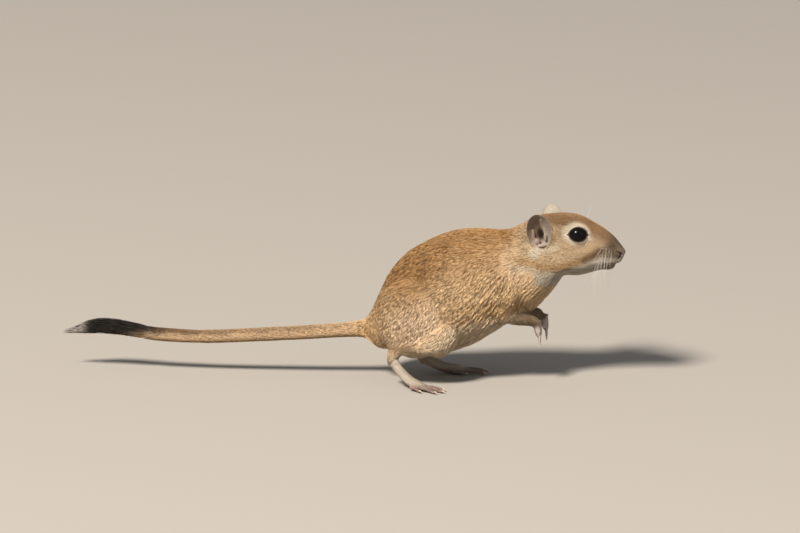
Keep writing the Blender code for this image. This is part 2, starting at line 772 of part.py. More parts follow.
def make_hand(side):
    """A forepaw that hangs from the wrist, with four fingers and a stub of a thumb."""
    wrist, down = Vector(WRIST[side]), Vector(HAND_HANG).normalized()
    outward = 1 if side == "left" else -1
    across = Vector((0.0, -outward, 0.0))
    front = down.cross(across).normalized() * -outward
    palm = [(*(wrist + down * s), half_width, thick) for s, half_width, thick in PALM]
    forms = [limb("palm", palm, sides=14, upright=front)]
    knuckles = wrist + down * PALM[-1][0] * 0.86
    for turn, offset, length in FINGERS:
        swing = Matrix.Rotation(math.radians(turn) * -outward, 3, front)
        if (swing @ down).dot(across) * turn < 0:
            swing = swing.transposed()
        base = knuckles + across * offset
        forms += digit(
            "finger", base, swing @ down, length, FINGER_HALF_WIDTH, FINGER_CLAW, front, 0.55
        )
    thumb = [
        (*(wrist + down * 2.4 + across * 1.9 - front * 0.6), 0.7, 0.7),
        (*(wrist + down * 3.8 + across * 2.7 - front * 1.0), 0.55, 0.55),
        (*(wrist + down * 4.6 + across * 2.9 - front * 1.2), 0.3, 0.3),
    ]
    forms.append(limb("thumb", thumb, sides=8))
    hand = thinned(fused("hand", forms, HAND_VOXEL, HAND_ROUNDS), HAND_TRIANGLES)
    carve(hand, beyond("wrist", *WRIST_CUT[side]), "INTERSECT")
    return finish_node(hand, f"forepaw_{side}", "pale fur")


# Tail

def tail_rows():
    """The tail's line at even steps of its length: x, y, z and radius."""
    fine = eased(TAIL, 12)
    lengths = [0.0]
    for a, b in zip(fine, fine[1:]):
        lengths.append(lengths[-1] + (Vector(b[:3]) - Vector(a[:3])).length)
    return fine, lengths


def tail_at(distance, fine, lengths):
    """The tail's row at a distance along it; past its end the line runs straight on."""
    for i in range(1, len(fine)):
        if distance <= lengths[i] or i == len(fine) - 1:
            share = (distance - lengths[i - 1]) / (lengths[i] - lengths[i - 1])
            return Vector(fine[i - 1]).lerp(Vector(fine[i]), share)


def tail_loft(name, start, end, fine, lengths):
    """The stretch of the tail between two distances."""
    spans = max(3, round((end - start) / 4.5))
    rings = []
    for i in range(spans + 1):
        distance = start + (end - start) * i / spans
        row = tail_at(distance, fine, lengths)
        ahead = tail_at(distance + 0.5, fine, lengths) - tail_at(distance - 0.5, fine, lengths)
        across = Vector(ahead[:3]).cross(Vector((0.0, 0.0, 1.0))).normalized()
        depth = across.cross(Vector(ahead[:3])).normalized()
        rings.append(ellipse(Vector(row[:3]), across * row[3], depth * row[3], TAIL_SIDES))
    return loft(name, rings)


def tuft_lock(start, angle, length, stand_off, fine, lengths):
    """One flat, tapered lock that is rooted in the tail, swells out and closes in to its tip."""
    # Along the lock: share of its length, share of its stand-off, half width, half thickness.
    shape = (
        (0.0, 0.0, 0.7, 0.9),
        (0.32, 0.66, 1.0, 1.0),
        (0.72, 1.0, 0.8, 0.8),
        (1.0, 0.94, 0.14, 0.3),
    )
    rings = []
    for share, off, wide, thick in shape:
        row = tail_at(start + length * share, fine, lengths)
        line = tail_at(start + length * share + 0.5, fine, lengths) - row
        line = Vector(line[:3]).normalized()
        across = line.cross(Vector((0.0, 0.0, 1.0))).normalized()
        depth = across.cross(line)
        outward = across * math.cos(angle) + depth * math.sin(angle)
        aside = line.cross(outward)
        inside = tail_at(start, fine, lengths)[3] * 0.45
        middle = Vector(row[:3]) + outward * (inside + (stand_off - inside) * off)
        half_width, half_thick = LOCK_HALF_WIDTH * wide, LOCK_HALF_THICKNESS * thick
        rings.append(
            [
                middle + aside * half_width,
                middle + outward * half_thick,
                middle - aside * half_width,
                middle - outward * half_thick,
            ]
        )
    return loft("lock", rings)


def make_tail():
    """The tail in lengths, and its tuft of locks round a thin core."""
    fine, lengths = tail_rows()
    total = lengths[-1]
    nodes = []
    for i, name in enumerate(TAIL_PIECES):
        start = TAIL_CUTS[i] * total + GAP / 2
        end = TAIL_CUTS[i + 1] * total - GAP / 2
        piece = tail_loft(name, start, end, fine, lengths)
        if name == "tail_tuft":
            add_locks(piece, fine, lengths)
        nodes.append(finish_node(piece, name, "black fur" if name == "tail_tuft" else "sandy fur"))
    return nodes


def add_locks(core, fine, lengths):
    """Roots the tuft's tiers of locks in its core, and joins all to one body."""
    total = lengths[-1]
    tuft = bpy.data.collections.new("locks")
    bpy.context.scene.collection.children.link(tuft)
    for tier, (place, count, length, stand_off) in enumerate(TIERS):
        for k in range(count):
            angle = 2 * math.pi * (k + 0.5 * (tier % 2) + 0.11 * tier) / count
            vary = math.sin(7.3 * k + 3.1 * tier)
            lock = tuft_lock(
                place * total + 0.6 + 0.6 * (1 + vary),
                angle,
                length * (1 + 0.08 * vary),
                stand_off * (1 + 0.06 * math.sin(4.7 * k + tier)),
                fine,
                lengths,
            )
            bpy.context.scene.collection.objects.unlink(lock)
            tuft.objects.link(lock)
    join = core.modifiers.new("locks", "BOOLEAN")
    join.operation = "UNION"
    join.operand_type = "COLLECTION"
    join.collection = tuft
    join.solver = "MANIFOLD"
    settle(core)
    for lock in list(tuft.objects):
        bpy.data.objects.remove(lock)
    bpy.data.collections.remove(tuft)


# Parting the flesh

def ball_region(name, region, grow):
    """An ellipsoid, swollen by grow."""
    middle, half_sizes = region
    return ball(name, middle, [size + grow for size in half_sizes], None, 18, 12)


def side_region(name, cut, grow):
    """Everything past a plane, which is drawn back by grow."""
    return beyond(name, *cut, back=grow)


def stub_region(name, cut, grow):
    """What lies close past a plane, so that a limb's stub is cleared and nothing else."""
    point, direction = Vector(cut[0]), Vector(cut[1]).normalized()
    turn = direction.to_track_quat("Z", "Y").to_matrix().to_4x4()
    stub = block(name, (-6.0, -6.0, 0.0), (6.0, 6.0, 9.0))
    stub.data.transform(Matrix.Translation((point - direction * grow) * MM) @ turn)
    return stub


def body_regions():
    """The regions of the body in the order in which they are taken: name, shape, size and finish.
    A region with no finish belongs to a piece that is made by itself."""
    regions = [
        ("head", side_region, HEAD_CUT, None),
        ("neck", side_region, NECK_CUT, "sandy fur"),
        ("tail", side_region, TAIL_CUT, None),
    ]
    for side in ("right", "left"):
        regions += [
            (f"forepaw_{side}", stub_region, WRIST_CUT[side], None),
            (f"forearm_{side}", ball_region, FOREARM_REGION[side], "pale fur"),
            (f"upper_arm_{side}", ball_region, SHOULDER_REGION[side], "sandy fur"),
            (f"hind_foot_{side}", stub_region, ANKLE_CUT[side], None),
            (f"lower_leg_{side}", ball_region, SHANK_REGION[side], "pale fur"),
            (f"thigh_{side}", ball_region, THIGH_REGION[side], "sandy fur"),
        ]
    return regions


def part_body(skin):
    """Cuts the body's skin into its pieces. Each region takes its piece, and what comes after it
    stays clear of it by the gap. What is left is the torso."""
    for side in ("right", "left"):
        carve(skin, ear_recess(side), solver="MANIFOLD")
    taken = []
    for name, shape, region, finish in body_regions():
        if finish:
            piece = copy_of(skin, name)
            carve(piece, shape("region", region, 0.0), "INTERSECT")
            for earlier_shape, earlier in taken:
                carve(piece, earlier_shape("cut", earlier, GAP))
            finish_node(piece, name, finish)
        taken.append((shape, region))
    torso = copy_of(skin, "torso")
    for shape, region in taken:
        carve(torso, shape("cut", region, GAP))
    finish_node(torso, "torso", "sandy fur")
    bpy.data.objects.remove(skin)


# The whole animal

def centre_on_floor():
    """Moves every piece so that the origin is under the middle of the animal's box."""
    pieces = [thing for thing in bpy.data.objects if not thing.hide_render]
    corners = [corner for piece in pieces for corner in bounds(piece)]
    low = Vector([min(c[i] for c in corners) for i in range(3)])
    high = Vector([max(c[i] for c in corners) for i in range(3)])
    shift = Matrix.Translation((-(low.x + high.x) / 2, -(low.y + high.y) / 2, -low.z))
    for piece in pieces:
        piece.data.transform(shift)
    return shift


def main():
    clear_scene()
    skin = body_skin()
    make_head(skin)
    for side in ("right", "left"):
        make_eye(side)
        make_ear(side)
        make_foot(side)
        make_hand(side)
    make_tail()
    part_body(thinned(skin, BODY_TRIANGLES))
    centre_on_floor()


main()
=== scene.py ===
import math

import bmesh
import bpy
import numpy as np
from mathutils import Matrix, Vector
from mathutils.bvhtree import BVHTree
from mathutils.kdtree import KDTree


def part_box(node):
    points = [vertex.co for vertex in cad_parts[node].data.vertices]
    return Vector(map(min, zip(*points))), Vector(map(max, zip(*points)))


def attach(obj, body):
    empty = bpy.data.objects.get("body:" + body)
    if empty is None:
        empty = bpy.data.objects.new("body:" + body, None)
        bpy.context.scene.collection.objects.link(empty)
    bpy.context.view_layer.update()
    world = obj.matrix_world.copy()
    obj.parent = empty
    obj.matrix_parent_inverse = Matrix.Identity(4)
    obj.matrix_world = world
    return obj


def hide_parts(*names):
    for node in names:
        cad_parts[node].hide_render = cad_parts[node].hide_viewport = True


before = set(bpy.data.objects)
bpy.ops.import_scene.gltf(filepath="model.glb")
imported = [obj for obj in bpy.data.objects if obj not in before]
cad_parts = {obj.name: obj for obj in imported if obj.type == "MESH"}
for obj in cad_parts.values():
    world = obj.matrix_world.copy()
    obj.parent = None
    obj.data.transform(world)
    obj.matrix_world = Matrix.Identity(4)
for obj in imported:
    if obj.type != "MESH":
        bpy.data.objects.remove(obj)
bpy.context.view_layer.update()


# Skin
# One skin wraps head, neck, trunk, limbs, ears and tail, with no seam. A museum's model has it as
# thin, tanned hide or cast resin over a hard core. It is fused from the solids, drawn in by the
# depth of the coat, and its toes, lids, nostrils, mouth line and ear folds are modelled into it.

MM = 0.001
SIDES = ("right", "left")
EYES_AT = Vector((97.146, -8.293, 68.907))  # midway between the eyes, from the root of the tail
EYE_IN_HEAD = (22.6, 6.2, 7.0)  # forward, aside and up from the back of the skull
HEAD_DIP = math.radians(2.0)


def middle_of(node):
    """The middle of a solid's box, in metres."""
    low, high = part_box(node)
    return (low + high) / 2


eye_middle = {side: middle_of(f"eye_{side}") for side in SIDES}
body_origin = (eye_middle["right"] + eye_middle["left"]) / 2 / MM - EYES_AT


def in_frame(points):
    """From millimetres from the root of the tail to metres in the shared frame."""
    return (np.asarray(points, dtype=float) + np.array(body_origin)) * MM


def in_body(points):
    """From metres in the shared frame to millimetres from the root of the tail."""
    return np.asarray(points, dtype=float) / MM - np.array(body_origin)


head_left = (eye_middle["left"] - eye_middle["right"]).normalized()
head_level = head_left.cross(Vector((0.0, 0.0, 1.0)))
head_up = head_level * math.sin(HEAD_DIP) + Vector((0.0, 0.0, 1.0)) * math.cos(HEAD_DIP)
head_forward = head_left.cross(head_up)
head_turn = Matrix((head_forward, head_left, head_up)).transposed()
head_origin = EYES_AT - head_turn @ Vector((EYE_IN_HEAD[0], 0.0, EYE_IN_HEAD[2]))


def from_head(where):
    """From the head's forward, aside and up to millimetres from the root of the tail."""
    return head_origin + head_turn @ Vector(where)


def to_head(points):
    """From millimetres from the root of the tail to the head's forward, aside and up."""
    return (points - np.array(head_origin)) @ np.array(head_turn)


def mirrored(where, side):
    """A place on the left side of the head, or the same on its right."""
    return (where[0], where[1] if side == "left" else -where[1], where[2])


def rise(value, low, high):
    """A smooth step from 0 at low to 1 at high."""
    share = np.clip((value - low) / (high - low), 0.0, 1.0)
    return share * share * (3 - 2 * share)


def linked(name, mesh):
    """A new object for the mesh, shown in the scene."""
    made = bpy.data.objects.new(name, mesh)
    bpy.context.scene.collection.objects.link(made)
    return made


def points_of(mesh):
    """The mesh's points in millimetres from the root of the tail."""
    places = np.empty(len(mesh.vertices) * 3, dtype=np.float32)
    mesh.vertices.foreach_get("co", places)
    return in_body(places.reshape(-1, 3))


def put_points(mesh, points):
    """Moves the mesh's points to places in millimetres from the root of the tail."""
    mesh.vertices.foreach_set("co", in_frame(points).astype(np.float32).ravel())
    mesh.update()


def normals_of(mesh):
    """The normals at the mesh's points."""
    normals = np.empty(len(mesh.vertices) * 3, dtype=np.float32)
    mesh.vertex_normals.foreach_get("vector", normals)
    return normals.reshape(-1, 3).astype(float)


def edges_of(mesh):
    """The two points of each edge."""
    ends = np.empty(len(mesh.edges) * 2, dtype=np.int32)
    mesh.edges.foreach_get("vertices", ends)
    return ends.reshape(-1, 2)


def spread(values, edges, rounds, share=0.5):
    """Evens out values at the points of a mesh along its edges."""
    count = len(values)
    degree = np.bincount(edges.ravel(), minlength=count)
    out = np.array(values, dtype=float)
    for _ in range(rounds):
        for column in range(out.shape[1]):
            line = out[:, column]
            total = np.bincount(edges[:, 0], line[edges[:, 1]], minlength=count)
            total += np.bincount(edges[:, 1], line[edges[:, 0]], minlength=count)
            out[:, column] = line + share * (total / degree - line)
    return out


def loft(name, rings):
    """A closed skin over rings of equally many points in millimetres, capped at both ends."""
    sides = len(rings[0])
    places = in_frame(np.array([tuple(p) for ring in rings for p in ring]))
    faces = [list(range(sides)), list(range(len(places) - sides, len(places)))]
    for r in range(len(rings) - 1):
        for k in range(sides):
            after = (k + 1) % sides
            faces.append(
                [r * sides + k, r * sides + after, (r + 1) * sides + after, (r + 1) * sides + k]
            )
    mesh = bpy.data.meshes.new(name)
    mesh.from_pydata([tuple(p) for p in places], [], faces)
    shape = bmesh.new()
    shape.from_mesh(mesh)
    bmesh.ops.recalc_face_normals(shape, faces=shape.faces)
    shape.to_mesh(mesh)
    shape.free()
    return mesh


def eased(rows, per_span):
    """Rows of numbers with the rows of a smooth curve put in between them."""
    rows = [np.array(row, dtype=float) for row in rows]
    out = []
    for i in range(len(rows) - 1):
        p, q = rows[max(i - 1, 0)], rows[i]
        r, s = rows[i + 1], rows[min(i + 2, len(rows) - 1)]
        for t in np.arange(per_span) / per_span:
            out.append(
                0.5
                * (
                    2 * q
                    + (r - p) * t
                    + (2 * p - 5 * q + 4 * r - s) * t * t
                    + (3 * q - p - 3 * r + s) * t ** 3
                )
            )
    out.append(rows[-1])
    return out


def limb(name, rows, sides, upright=(0.0, 0.0, 1.0)):
    """A tube with an oval section through rows of x, y, z, half width and half depth, in
    millimetres. Its width lies across both its own line and upright."""
    rings = []
    for i, row in enumerate(rows):
        line = rows[min(i + 1, len(rows) - 1)][:3] - rows[max(i - 1, 0)][:3]
        line = Vector(line).normalized()
        across = line.cross(Vector(upright)).normalized()
        deep = across.cross(line)
        angles = [2 * math.pi * k / sides for k in range(sides)]
        rings.append([
            Vector(row[:3]) + across * (math.cos(a) * row[3]) + deep * (math.sin(a) * row[4])
            for a in angles
        ])
    return loft(name, rings)


def tube(name, rows, sides, upright=(0.0, 0.0, 1.0)):
    """A round tube through rows of x, y, z and radius, in millimetres."""
    return limb(name, [np.array((*row[:3], row[3], row[3])) for row in rows], sides, upright)


def ball(name, middle, half_sizes, turn, segments=24, rings=14):
    """An ellipsoid about a middle in millimetres, turned by a matrix."""
    shape = bmesh.new()
    bmesh.ops.create_uvsphere(shape, u_segments=segments, v_segments=rings, radius=1.0)
    stretch = Matrix.Diagonal((*half_sizes, 1.0))
    place = Matrix.Translation(Vector(middle)) @ turn.to_4x4() @ stretch
    bmesh.ops.transform(shape, matrix=place, verts=shape.verts)
    for vert in shape.verts:
        vert.co = Vector(in_frame(vert.co))
    mesh = bpy.data.meshes.new(name)
    shape.to_mesh(mesh)
    shape.free()
    return mesh


# The ear: a thin leaf of gristle, cupped, with a rim that curls in at the front and two small
# lobes at the mouth of its canal.
EAR_ROOT = (6.8, 11.0, 4.2)
EAR_UP = (-0.14, 0.16, 0.97)
EAR_FACING = (0.30, 0.94, 0.12)
EAR_RISE = 3.7
EAR_HALF_WIDTH = 5.8
EAR_HALF_HEIGHT = 8.5
EAR_DEPTH = 4.2
EAR_WALL = 0.8
EAR_LOBES = (  # forward, up and out from the middle of the cup, and the half sizes
    ((-1.5, -4.8, -2.1), (1.3, 1.5, 0.9)),
    ((2.3, -3.6, -1.7), (0.8, 2.2, 1.0)),
    ((0.5, -6.9, -1.2), (2.2, 1.0, 0.9)),
    ((-2.6, -1.6, -3.0), (0.6, 2.7, 0.7)),
)
EAR_FOLD = ((1.7, 5.2), (1.9, 1.2), (2.2, -2.6))  # the ridge down the front of the cup


def ear_frame(side):
    """The ear's root, and the ways forward along its width, up it and out of its cup."""
    upward = (head_turn @ Vector(mirrored(EAR_UP, side))).normalized()
    outward = head_turn @ Vector(mirrored(EAR_FACING, side))
    outward = (outward - upward * outward.dot(upward)).normalized()
    forward = upward.cross(outward) * (1 if side == "right" else -1)
    return from_head(mirrored(EAR_ROOT, side)), forward, upward, outward


def ear_point(side, share, angle, behind):
    """A place on the ear's cup: the share of the way from its bottom to its rim, the angle round
    it, and how far behind its inner face."""
    root, forward, upward, outward = ear_frame(side)
    wide = EAR_HALF_WIDTH * share * math.cos(angle)
    tall = EAR_HALF_HEIGHT * share * math.sin(angle)
    low = max(0.0, -math.sin(angle)) * share
    front = max(0.0, math.cos(angle)) * share
    back = max(0.0, -math.cos(angle)) * share
    deep = -EAR_DEPTH * (1 - share ** 2.4) - 0.9 * low + 1.1 * front - 0.6 * back * back
    middle = root + upward * (EAR_RISE + tall + 0.10 * wide * share)
    return middle + forward * (wide - 0.08 * tall) + outward * (deep - behind)


def ear_meshes(side):
    """The cup with its rim, and the lobes and fold inside it."""
    steps, sides = 16, 56
    rings = []
    for step in range(1, steps + 1):
        share = step / steps
        rings.append([ear_point(side, share, 2 * math.pi * k / sides, 0.0) for k in range(sides)])
    for step in range(steps, 0, -1):
        share = step / steps
        wall = EAR_WALL * (1.25 - 0.6 * share)
        rings.append([ear_point(side, share, 2 * math.pi * k / sides, wall) for k in range(sides)])
    meshes = [loft("ear", rings)]
    root, forward, upward, outward = ear_frame(side)
    turn = Matrix((forward, upward, outward)).transposed()
    centre = root + upward * EAR_RISE
    for (ahead, above, out), half_sizes in EAR_LOBES:
        place = centre + forward * ahead + upward * above + outward * out
        meshes.append(ball("ear lobe", place, half_sizes, turn))
    fold = []
    for ahead, above in EAR_FOLD:
        share = math.hypot(ahead / EAR_HALF_WIDTH, above / EAR_HALF_HEIGHT)
        angle = math.atan2(above / EAR_HALF_HEIGHT, ahead / EAR_HALF_WIDTH)
        place = ear_point(side, share, angle, 0.1)
        fold.append(np.array((*place, 0.75)))
    meshes.append(tube("ear fold", eased(fold, 5), 12))
    return meshes


# Hind feet and hands are thin-fleshed, so their bones show: a long sole held off its heel, a palm
# that hangs, and toes and fingers that rise over a knuckle and end in a round pad.
FOOT = {  # x, y, z, half width and half depth, from the ankle to the ball
    "right": (
        (11.2, -14.6, 13.6, 1.7, 2.1),
        (12.2, -15.4, 11.9, 2.3, 2.5),
        (15.0, -17.8, 8.1, 2.3, 2.2),
        (19.4, -21.0, 4.0, 2.7, 2.1),
        (23.4, -24.0, 1.95, 3.3, 2.1),
        (25.8, -25.8, 1.5, 2.8, 1.6),
        (27.9, -27.3, 1.2, 1.8, 0.8),
    ),
    "left": (
        (24.8, 13.2, 7.8, 1.7, 2.1),
        (26.6, 12.9, 6.6, 2.3, 2.6),
        (31.4, 11.8, 4.3, 2.3, 2.4),
        (36.6, 10.9, 2.4, 2.7, 2.3),
        (42.2, 10.4, 1.95, 3.3, 2.1),
        (44.8, 10.4, 1.5, 2.8, 1.6),
        (47.4, 10.5, 1.2, 1.8, 0.8),
    ),
}
BALL = 5  # the row at the front of the ball, where the toes start
TOE_HEADING = {"right": -34.0, "left": 4.0}  # degrees from +X, seen from above
# Toes from the inner to the outer one: turn from the heading, offset across, length, and how far
# back from the front of the ball it starts.
TOES = (
    (20.0, 2.9, 6.0, 4.6),
    (11.0, 1.9, 10.4, 0.6),
    (1.0, 0.2, 11.6, 0.0),
    (-9.0, -1.6, 10.6, 0.5),
    (-19.0, -2.9, 7.2, 3.8),
)
TOE_BACK = 0.8  # how far inside the ball each toe starts
TOE_HEIGHT = 1.12
TOE_HALF_WIDTH = 0.84
TOE_CLAW = 2.4
TOE_DROOP = 0.75
WRIST = {"right": (77.4, -9.5, 27.0), "left": (80.6, 5.3, 27.0)}
HAND_HANG = (0.16, 0.0, -0.987)  # the way the hanging hand points
# Down the palm: distance from the wrist, half width across and half thickness.
PALM = ((-1.6, 1.9, 1.9), (0.6, 2.1, 1.9), (3.2, 2.7, 1.7), (5.0, 2.6, 1.35), (5.9, 2.1, 0.8))
# Fingers from the inner to the outer one: turn, offset across, length.
FINGERS = ((13.0, 2.0, 4.0), (5.0, 0.72, 5.0), (-5.0, -0.72, 4.8), (-15.0, -2.0, 3.8))
FINGERS_FROM = 4.5  # how far down the palm they start
FINGER_HALF_WIDTH = 0.62
FINGER_CLAW = 1.5
FINGER_DROOP = 0.55
# Down the thumb: distance from the wrist, across, behind, and radius.
THUMB = ((2.4, 1.9, 0.6, 0.62), (3.8, 2.7, 1.0, 0.5), (4.6, 2.9, 1.2, 0.28))
# Along a toe or finger: share of its length, rise over its line, and how wide and deep it is.
DIGIT = (
    (0.0, 0.0, 1.10, 1.15), (0.18, 0.32, 0.94, 1.02), (0.34, 0.44, 1.02, 1.08),
    (0.50, 0.30, 0.86, 0.92), (0.66, 0.10, 0.92, 0.92), (0.79, -0.25, 0.84, 0.84),
    (0.90, -0.50, 1.04, 0.98), (0.97, -0.66, 0.84, 0.76), (1.0, -0.72, 0.50, 0.45),
)


def toes_of(side):
    """Root, heading and length of each toe."""
    angle = math.radians(TOE_HEADING[side])
    outward = 1 if side == "left" else -1
    forward = Vector((math.cos(angle), math.sin(angle), 0.0))
    inward = Vector((forward.y, -forward.x, 0.0)) * outward
    front = Vector(FOOT[side][BALL][:3])
    out = []
    for turn, offset, length, back in TOES:
        swing = Matrix.Rotation(-math.radians(turn) * outward, 3, "Z")
        base = front + inward * offset - forward * (back + TOE_BACK)
        base.z = TOE_HEIGHT
        out.append((base, swing @ forward, length))
    return out


def hand_frame(side):
    """The wrist, and the ways down the hand, across it to its inner side, and out of its back."""
    outward = 1 if side == "left" else -1
    down = Vector(HAND_HANG).normalized()
    across = Vector((0.0, -outward, 0.0))
    front = down.cross(across).normalized() * -outward
    return Vector(WRIST[side]), down, across, front


def fingers_of(side):
    """Root, heading and length of each finger."""
    wrist, down, across, front = hand_frame(side)
    knuckles = wrist + down * FINGERS_FROM
    out = []
    for turn, offset, length in FINGERS:
        swing = Matrix.Rotation(math.radians(turn), 3, front)
        if (swing @ down).dot(across) * turn < 0:
            swing = swing.transposed()
        out.append((knuckles + across * offset, swing @ down, length))
    return out


def digit(base, heading, length, half_width, lift, droop):
    """A toe or finger that rises over its knuckle and ends in a pad."""
    rows = [
        (*(base + heading * length * share + lift * (up * droop)), wide * half_width,
         deep * half_width)
        for share, up, wide, deep in DIGIT
    ]
    return limb("digit", eased(rows, 3), 14, upright=lift)


def foot_meshes(side):
    """The sole with its toes."""
    forms = [limb("sole", eased(FOOT[side], 5), 22)]
    for base, heading, length in toes_of(side):
        forms.append(digit(base, heading, length, TOE_HALF_WIDTH, Vector((0, 0, 1)), TOE_DROOP))
    return forms


def hand_meshes(side):
    """The palm with its fingers and its stub of a thumb."""
    wrist, down, across, front = hand_frame(side)
    palm = [(*(wrist + down * s), wide, deep) for s, wide, deep in PALM]
    forms = [limb("palm", eased(palm, 4), 18, upright=front)]
    for base, heading, length in fingers_of(side):
        forms.append(digit(base, heading, length, FINGER_HALF_WIDTH, front, FINGER_DROOP))
    thumb = [(*(wrist + down * s + across * a - front * b), radius) for s, a, b, radius in THUMB]
    forms.append(tube("thumb", eased(thumb, 4), 12))
    return forms


# The tail's end runs on inside the tuft, from the last plain stretch of the tail to the tip.
TAIL_END = (
    (-94.5, 15.6, 17.0, 2.2),
    (-105.8, 17.6, 18.7, 2.0),
    (-114.0, 19.2, 19.6, 1.5),
    (-121.0, 20.6, 19.7, 1.0),
    (-126.5, 21.6, 18.6, 0.5),
)
CUT_CLOSED = 0.36  # how far each solid is swollen so that the cuts between them close
SKIN_GRAIN = 0.24  # the size of the skin's first faces
SKIN_TRIANGLES = 190000

# The coat of each part of the body: its depth over the skin, how long a tuft is, its half width,
# how many tufts stand on a square millimetre, and how far the solids' facets are softened.
COATS = {
    "torso": (1.7, 5.8, 0.125, 6.7, 1.0),
    "neck": (1.5, 4.8, 0.115, 8.0, 1.0),
    "head": (0.75, 2.5, 0.082, 11.8, 0.38),
    "upper_arm": (1.3, 4.2, 0.11, 8.5, 0.8),
    "forearm": (0.5, 1.9, 0.08, 10.0, 0.5),
    "forepaw": (0.1, 0.8, 0.05, 24.0, 0.06),
    "thigh": (1.6, 5.4, 0.12, 6.9, 1.0),
    "lower_leg": (0.7, 2.5, 0.09, 9.5, 0.6),
    "hind_foot": (0.1, 0.95, 0.055, 24.0, 0.06),
    "tail_root": (0.9, 3.6, 0.09, 9.5, 0.7),
    "tail_middle": (0.8, 3.3, 0.085, 9.5, 0.5),
    "tail_end": (0.8, 3.3, 0.085, 9.5, 0.5),
    "tail_tuft": (0.1, 5.0, 0.12, 5.0, 0.5),
    "ear": (0.0, 0.9, 0.04, 14.0, 0.12),
}
COAT_KINDS = list(COATS)
DEPTH, LENGTH, HALF_WIDTH, DENSITY, SOFTNESS = range(5)
SOFT_ROUNDS = 100


def kind_of(node):
    """The kind of coat on a node."""
    return next(kind for kind in COAT_KINDS if node.startswith(kind))


def is_kind(kinds, *names):
    """Which of the kinds are among the named ones."""
    return np.isin(kinds, [COAT_KINDS.index(name) for name in names])


def join_meshes(name, meshes):
    """One mesh that holds all the meshes, which are removed."""
    shape = bmesh.new()
    for mesh in meshes:
        shape.from_mesh(mesh)
        bpy.data.meshes.remove(mesh)
    whole = bpy.data.meshes.new(name)
    shape.to_mesh(whole)
    shape.free()
    return whole


def swollen(node):
    """A copy of a solid's mesh, welded along its sharp edges and made a little larger."""
    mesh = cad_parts[node].data.copy()
    shape = bmesh.new()
    shape.from_mesh(mesh)
    bmesh.ops.remove_doubles(shape, verts=shape.verts, dist=0.001 * MM)
    shape.normal_update()
    shape.to_mesh(mesh)
    shape.free()
    put_points(mesh, points_of(mesh) + normals_of(mesh) * CUT_CLOSED)
    return mesh


def settled(thing):
    """Turns what the object's modifiers show into its own mesh."""
    graph = bpy.context.evaluated_depsgraph_get()
    mesh = bpy.data.meshes.new_from_object(thing.evaluated_get(graph))
    thing.modifiers.clear()
    thing.vertex_groups.clear()
    thing.data = mesh
    return mesh


def keep_one_surface(mesh):
    """Drops every closed surface but the largest."""
    edges = edges_of(mesh)
    label = np.arange(len(mesh.vertices))
    while True:
        lower = np.minimum(label[edges[:, 0]], label[edges[:, 1]])
        fresh = label.copy()
        np.minimum.at(fresh, edges[:, 0], lower)
        np.minimum.at(fresh, edges[:, 1], lower)
        fresh = fresh[fresh]
        if np.array_equal(fresh, label):
            break
        label = fresh
    largest = np.bincount(label).argmax()
    scraps = np.flatnonzero(label != largest)
    if len(scraps):
        shape = bmesh.new()
        shape.from_mesh(mesh)
        shape.verts.ensure_lookup_table()
        bmesh.ops.delete(shape, geom=[shape.verts[i] for i in scraps], context="VERTS")
        shape.to_mesh(mesh)
        shape.free()


def weigh(thing, name, weights):
    """A vertex group that holds a weight for each point, in sixteenths."""
    group = thing.vertex_groups.new(name=name)
    steps = np.round(weights * 16).astype(int)
    for step in np.unique(steps):
        group.add(np.flatnonzero(steps == step).tolist(), step / 16, "REPLACE")
    return group.name


covered = [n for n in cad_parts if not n.startswith(("eye_", "tail_tuft"))]
remade = ("ear_", "hind_foot", "forepaw")
ear_parts = {side: ear_meshes(side) for side in SIDES}
landmarks = []
for node in covered:
    if node.startswith("ear_"):
        continue
    kind = COAT_KINDS.index(kind_of(node))
    landmarks += [(point, kind) for point in points_of(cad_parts[node].data)]
    middles = [Vector(face.center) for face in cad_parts[node].data.polygons]
    landmarks += [(point, kind) for point in in_body(middles)]
for side in SIDES:
    ear_kind = COAT_KINDS.index("ear")
    landmarks += [(point, ear_kind) for point in points_of(ear_parts[side][0])]
tail_end_mesh = tube("tail end", eased(TAIL_END, 6), 16)
tuft_kind = COAT_KINDS.index("tail_tuft")
landmarks += [(p, tuft_kind) for p in points_of(tail_end_mesh) if p[0] < TAIL_END[1][0] + 3.0]
NOSE_BULB = ((41.3, 0.0, -0.4), (1.9, 2.1, 1.8))
fillings = [ball("eye filling", in_body(eye_middle[side]), (4.5,) * 3, head_turn) for side in SIDES]
fillings.append(ball("nose", from_head(NOSE_BULB[0]), NOSE_BULB[1], head_turn))
TAIL_CORE = (
    (9.0, 3.1, 23.0, 6.4), (1.5, 3.5, 22.3, 4.75), (-3.0, 3.7, 22.0, 4.1), (-11.2, 4.1, 21.3, 3.7),
    (-42.8, 7.2, 18.8, 2.6), (-74.2, 12.0, 16.6, 2.5), (-94.5, 15.6, 17.0, 2.3),
)
fillings.append(tube("tail core", eased(TAIL_CORE, 8), 18))
skin_parts = [swollen(node) for node in covered if not node.startswith(remade)]
for side in SIDES:
    skin_parts += [*ear_parts[side], *foot_meshes(side), *hand_meshes(side)]
skin = linked("skin", join_meshes("skin", [*skin_parts, *fillings, tail_end_mesh]))
remesh = skin.modifiers.new("one skin", "REMESH")
remesh.mode = "VOXEL"
remesh.voxel_size = SKIN_GRAIN * MM
skin_mesh = settled(skin)
keep_one_surface(skin_mesh)

near_landmark = KDTree(len(landmarks))
for index, (point, kind) in enumerate(landmarks):
    near_landmark.insert(point, index)
near_landmark.balance()


def kinds_at(points):
    """The kind of coat at each point."""
    return np.array([landmarks[near_landmark.find(p)[1]][1] for p in points])


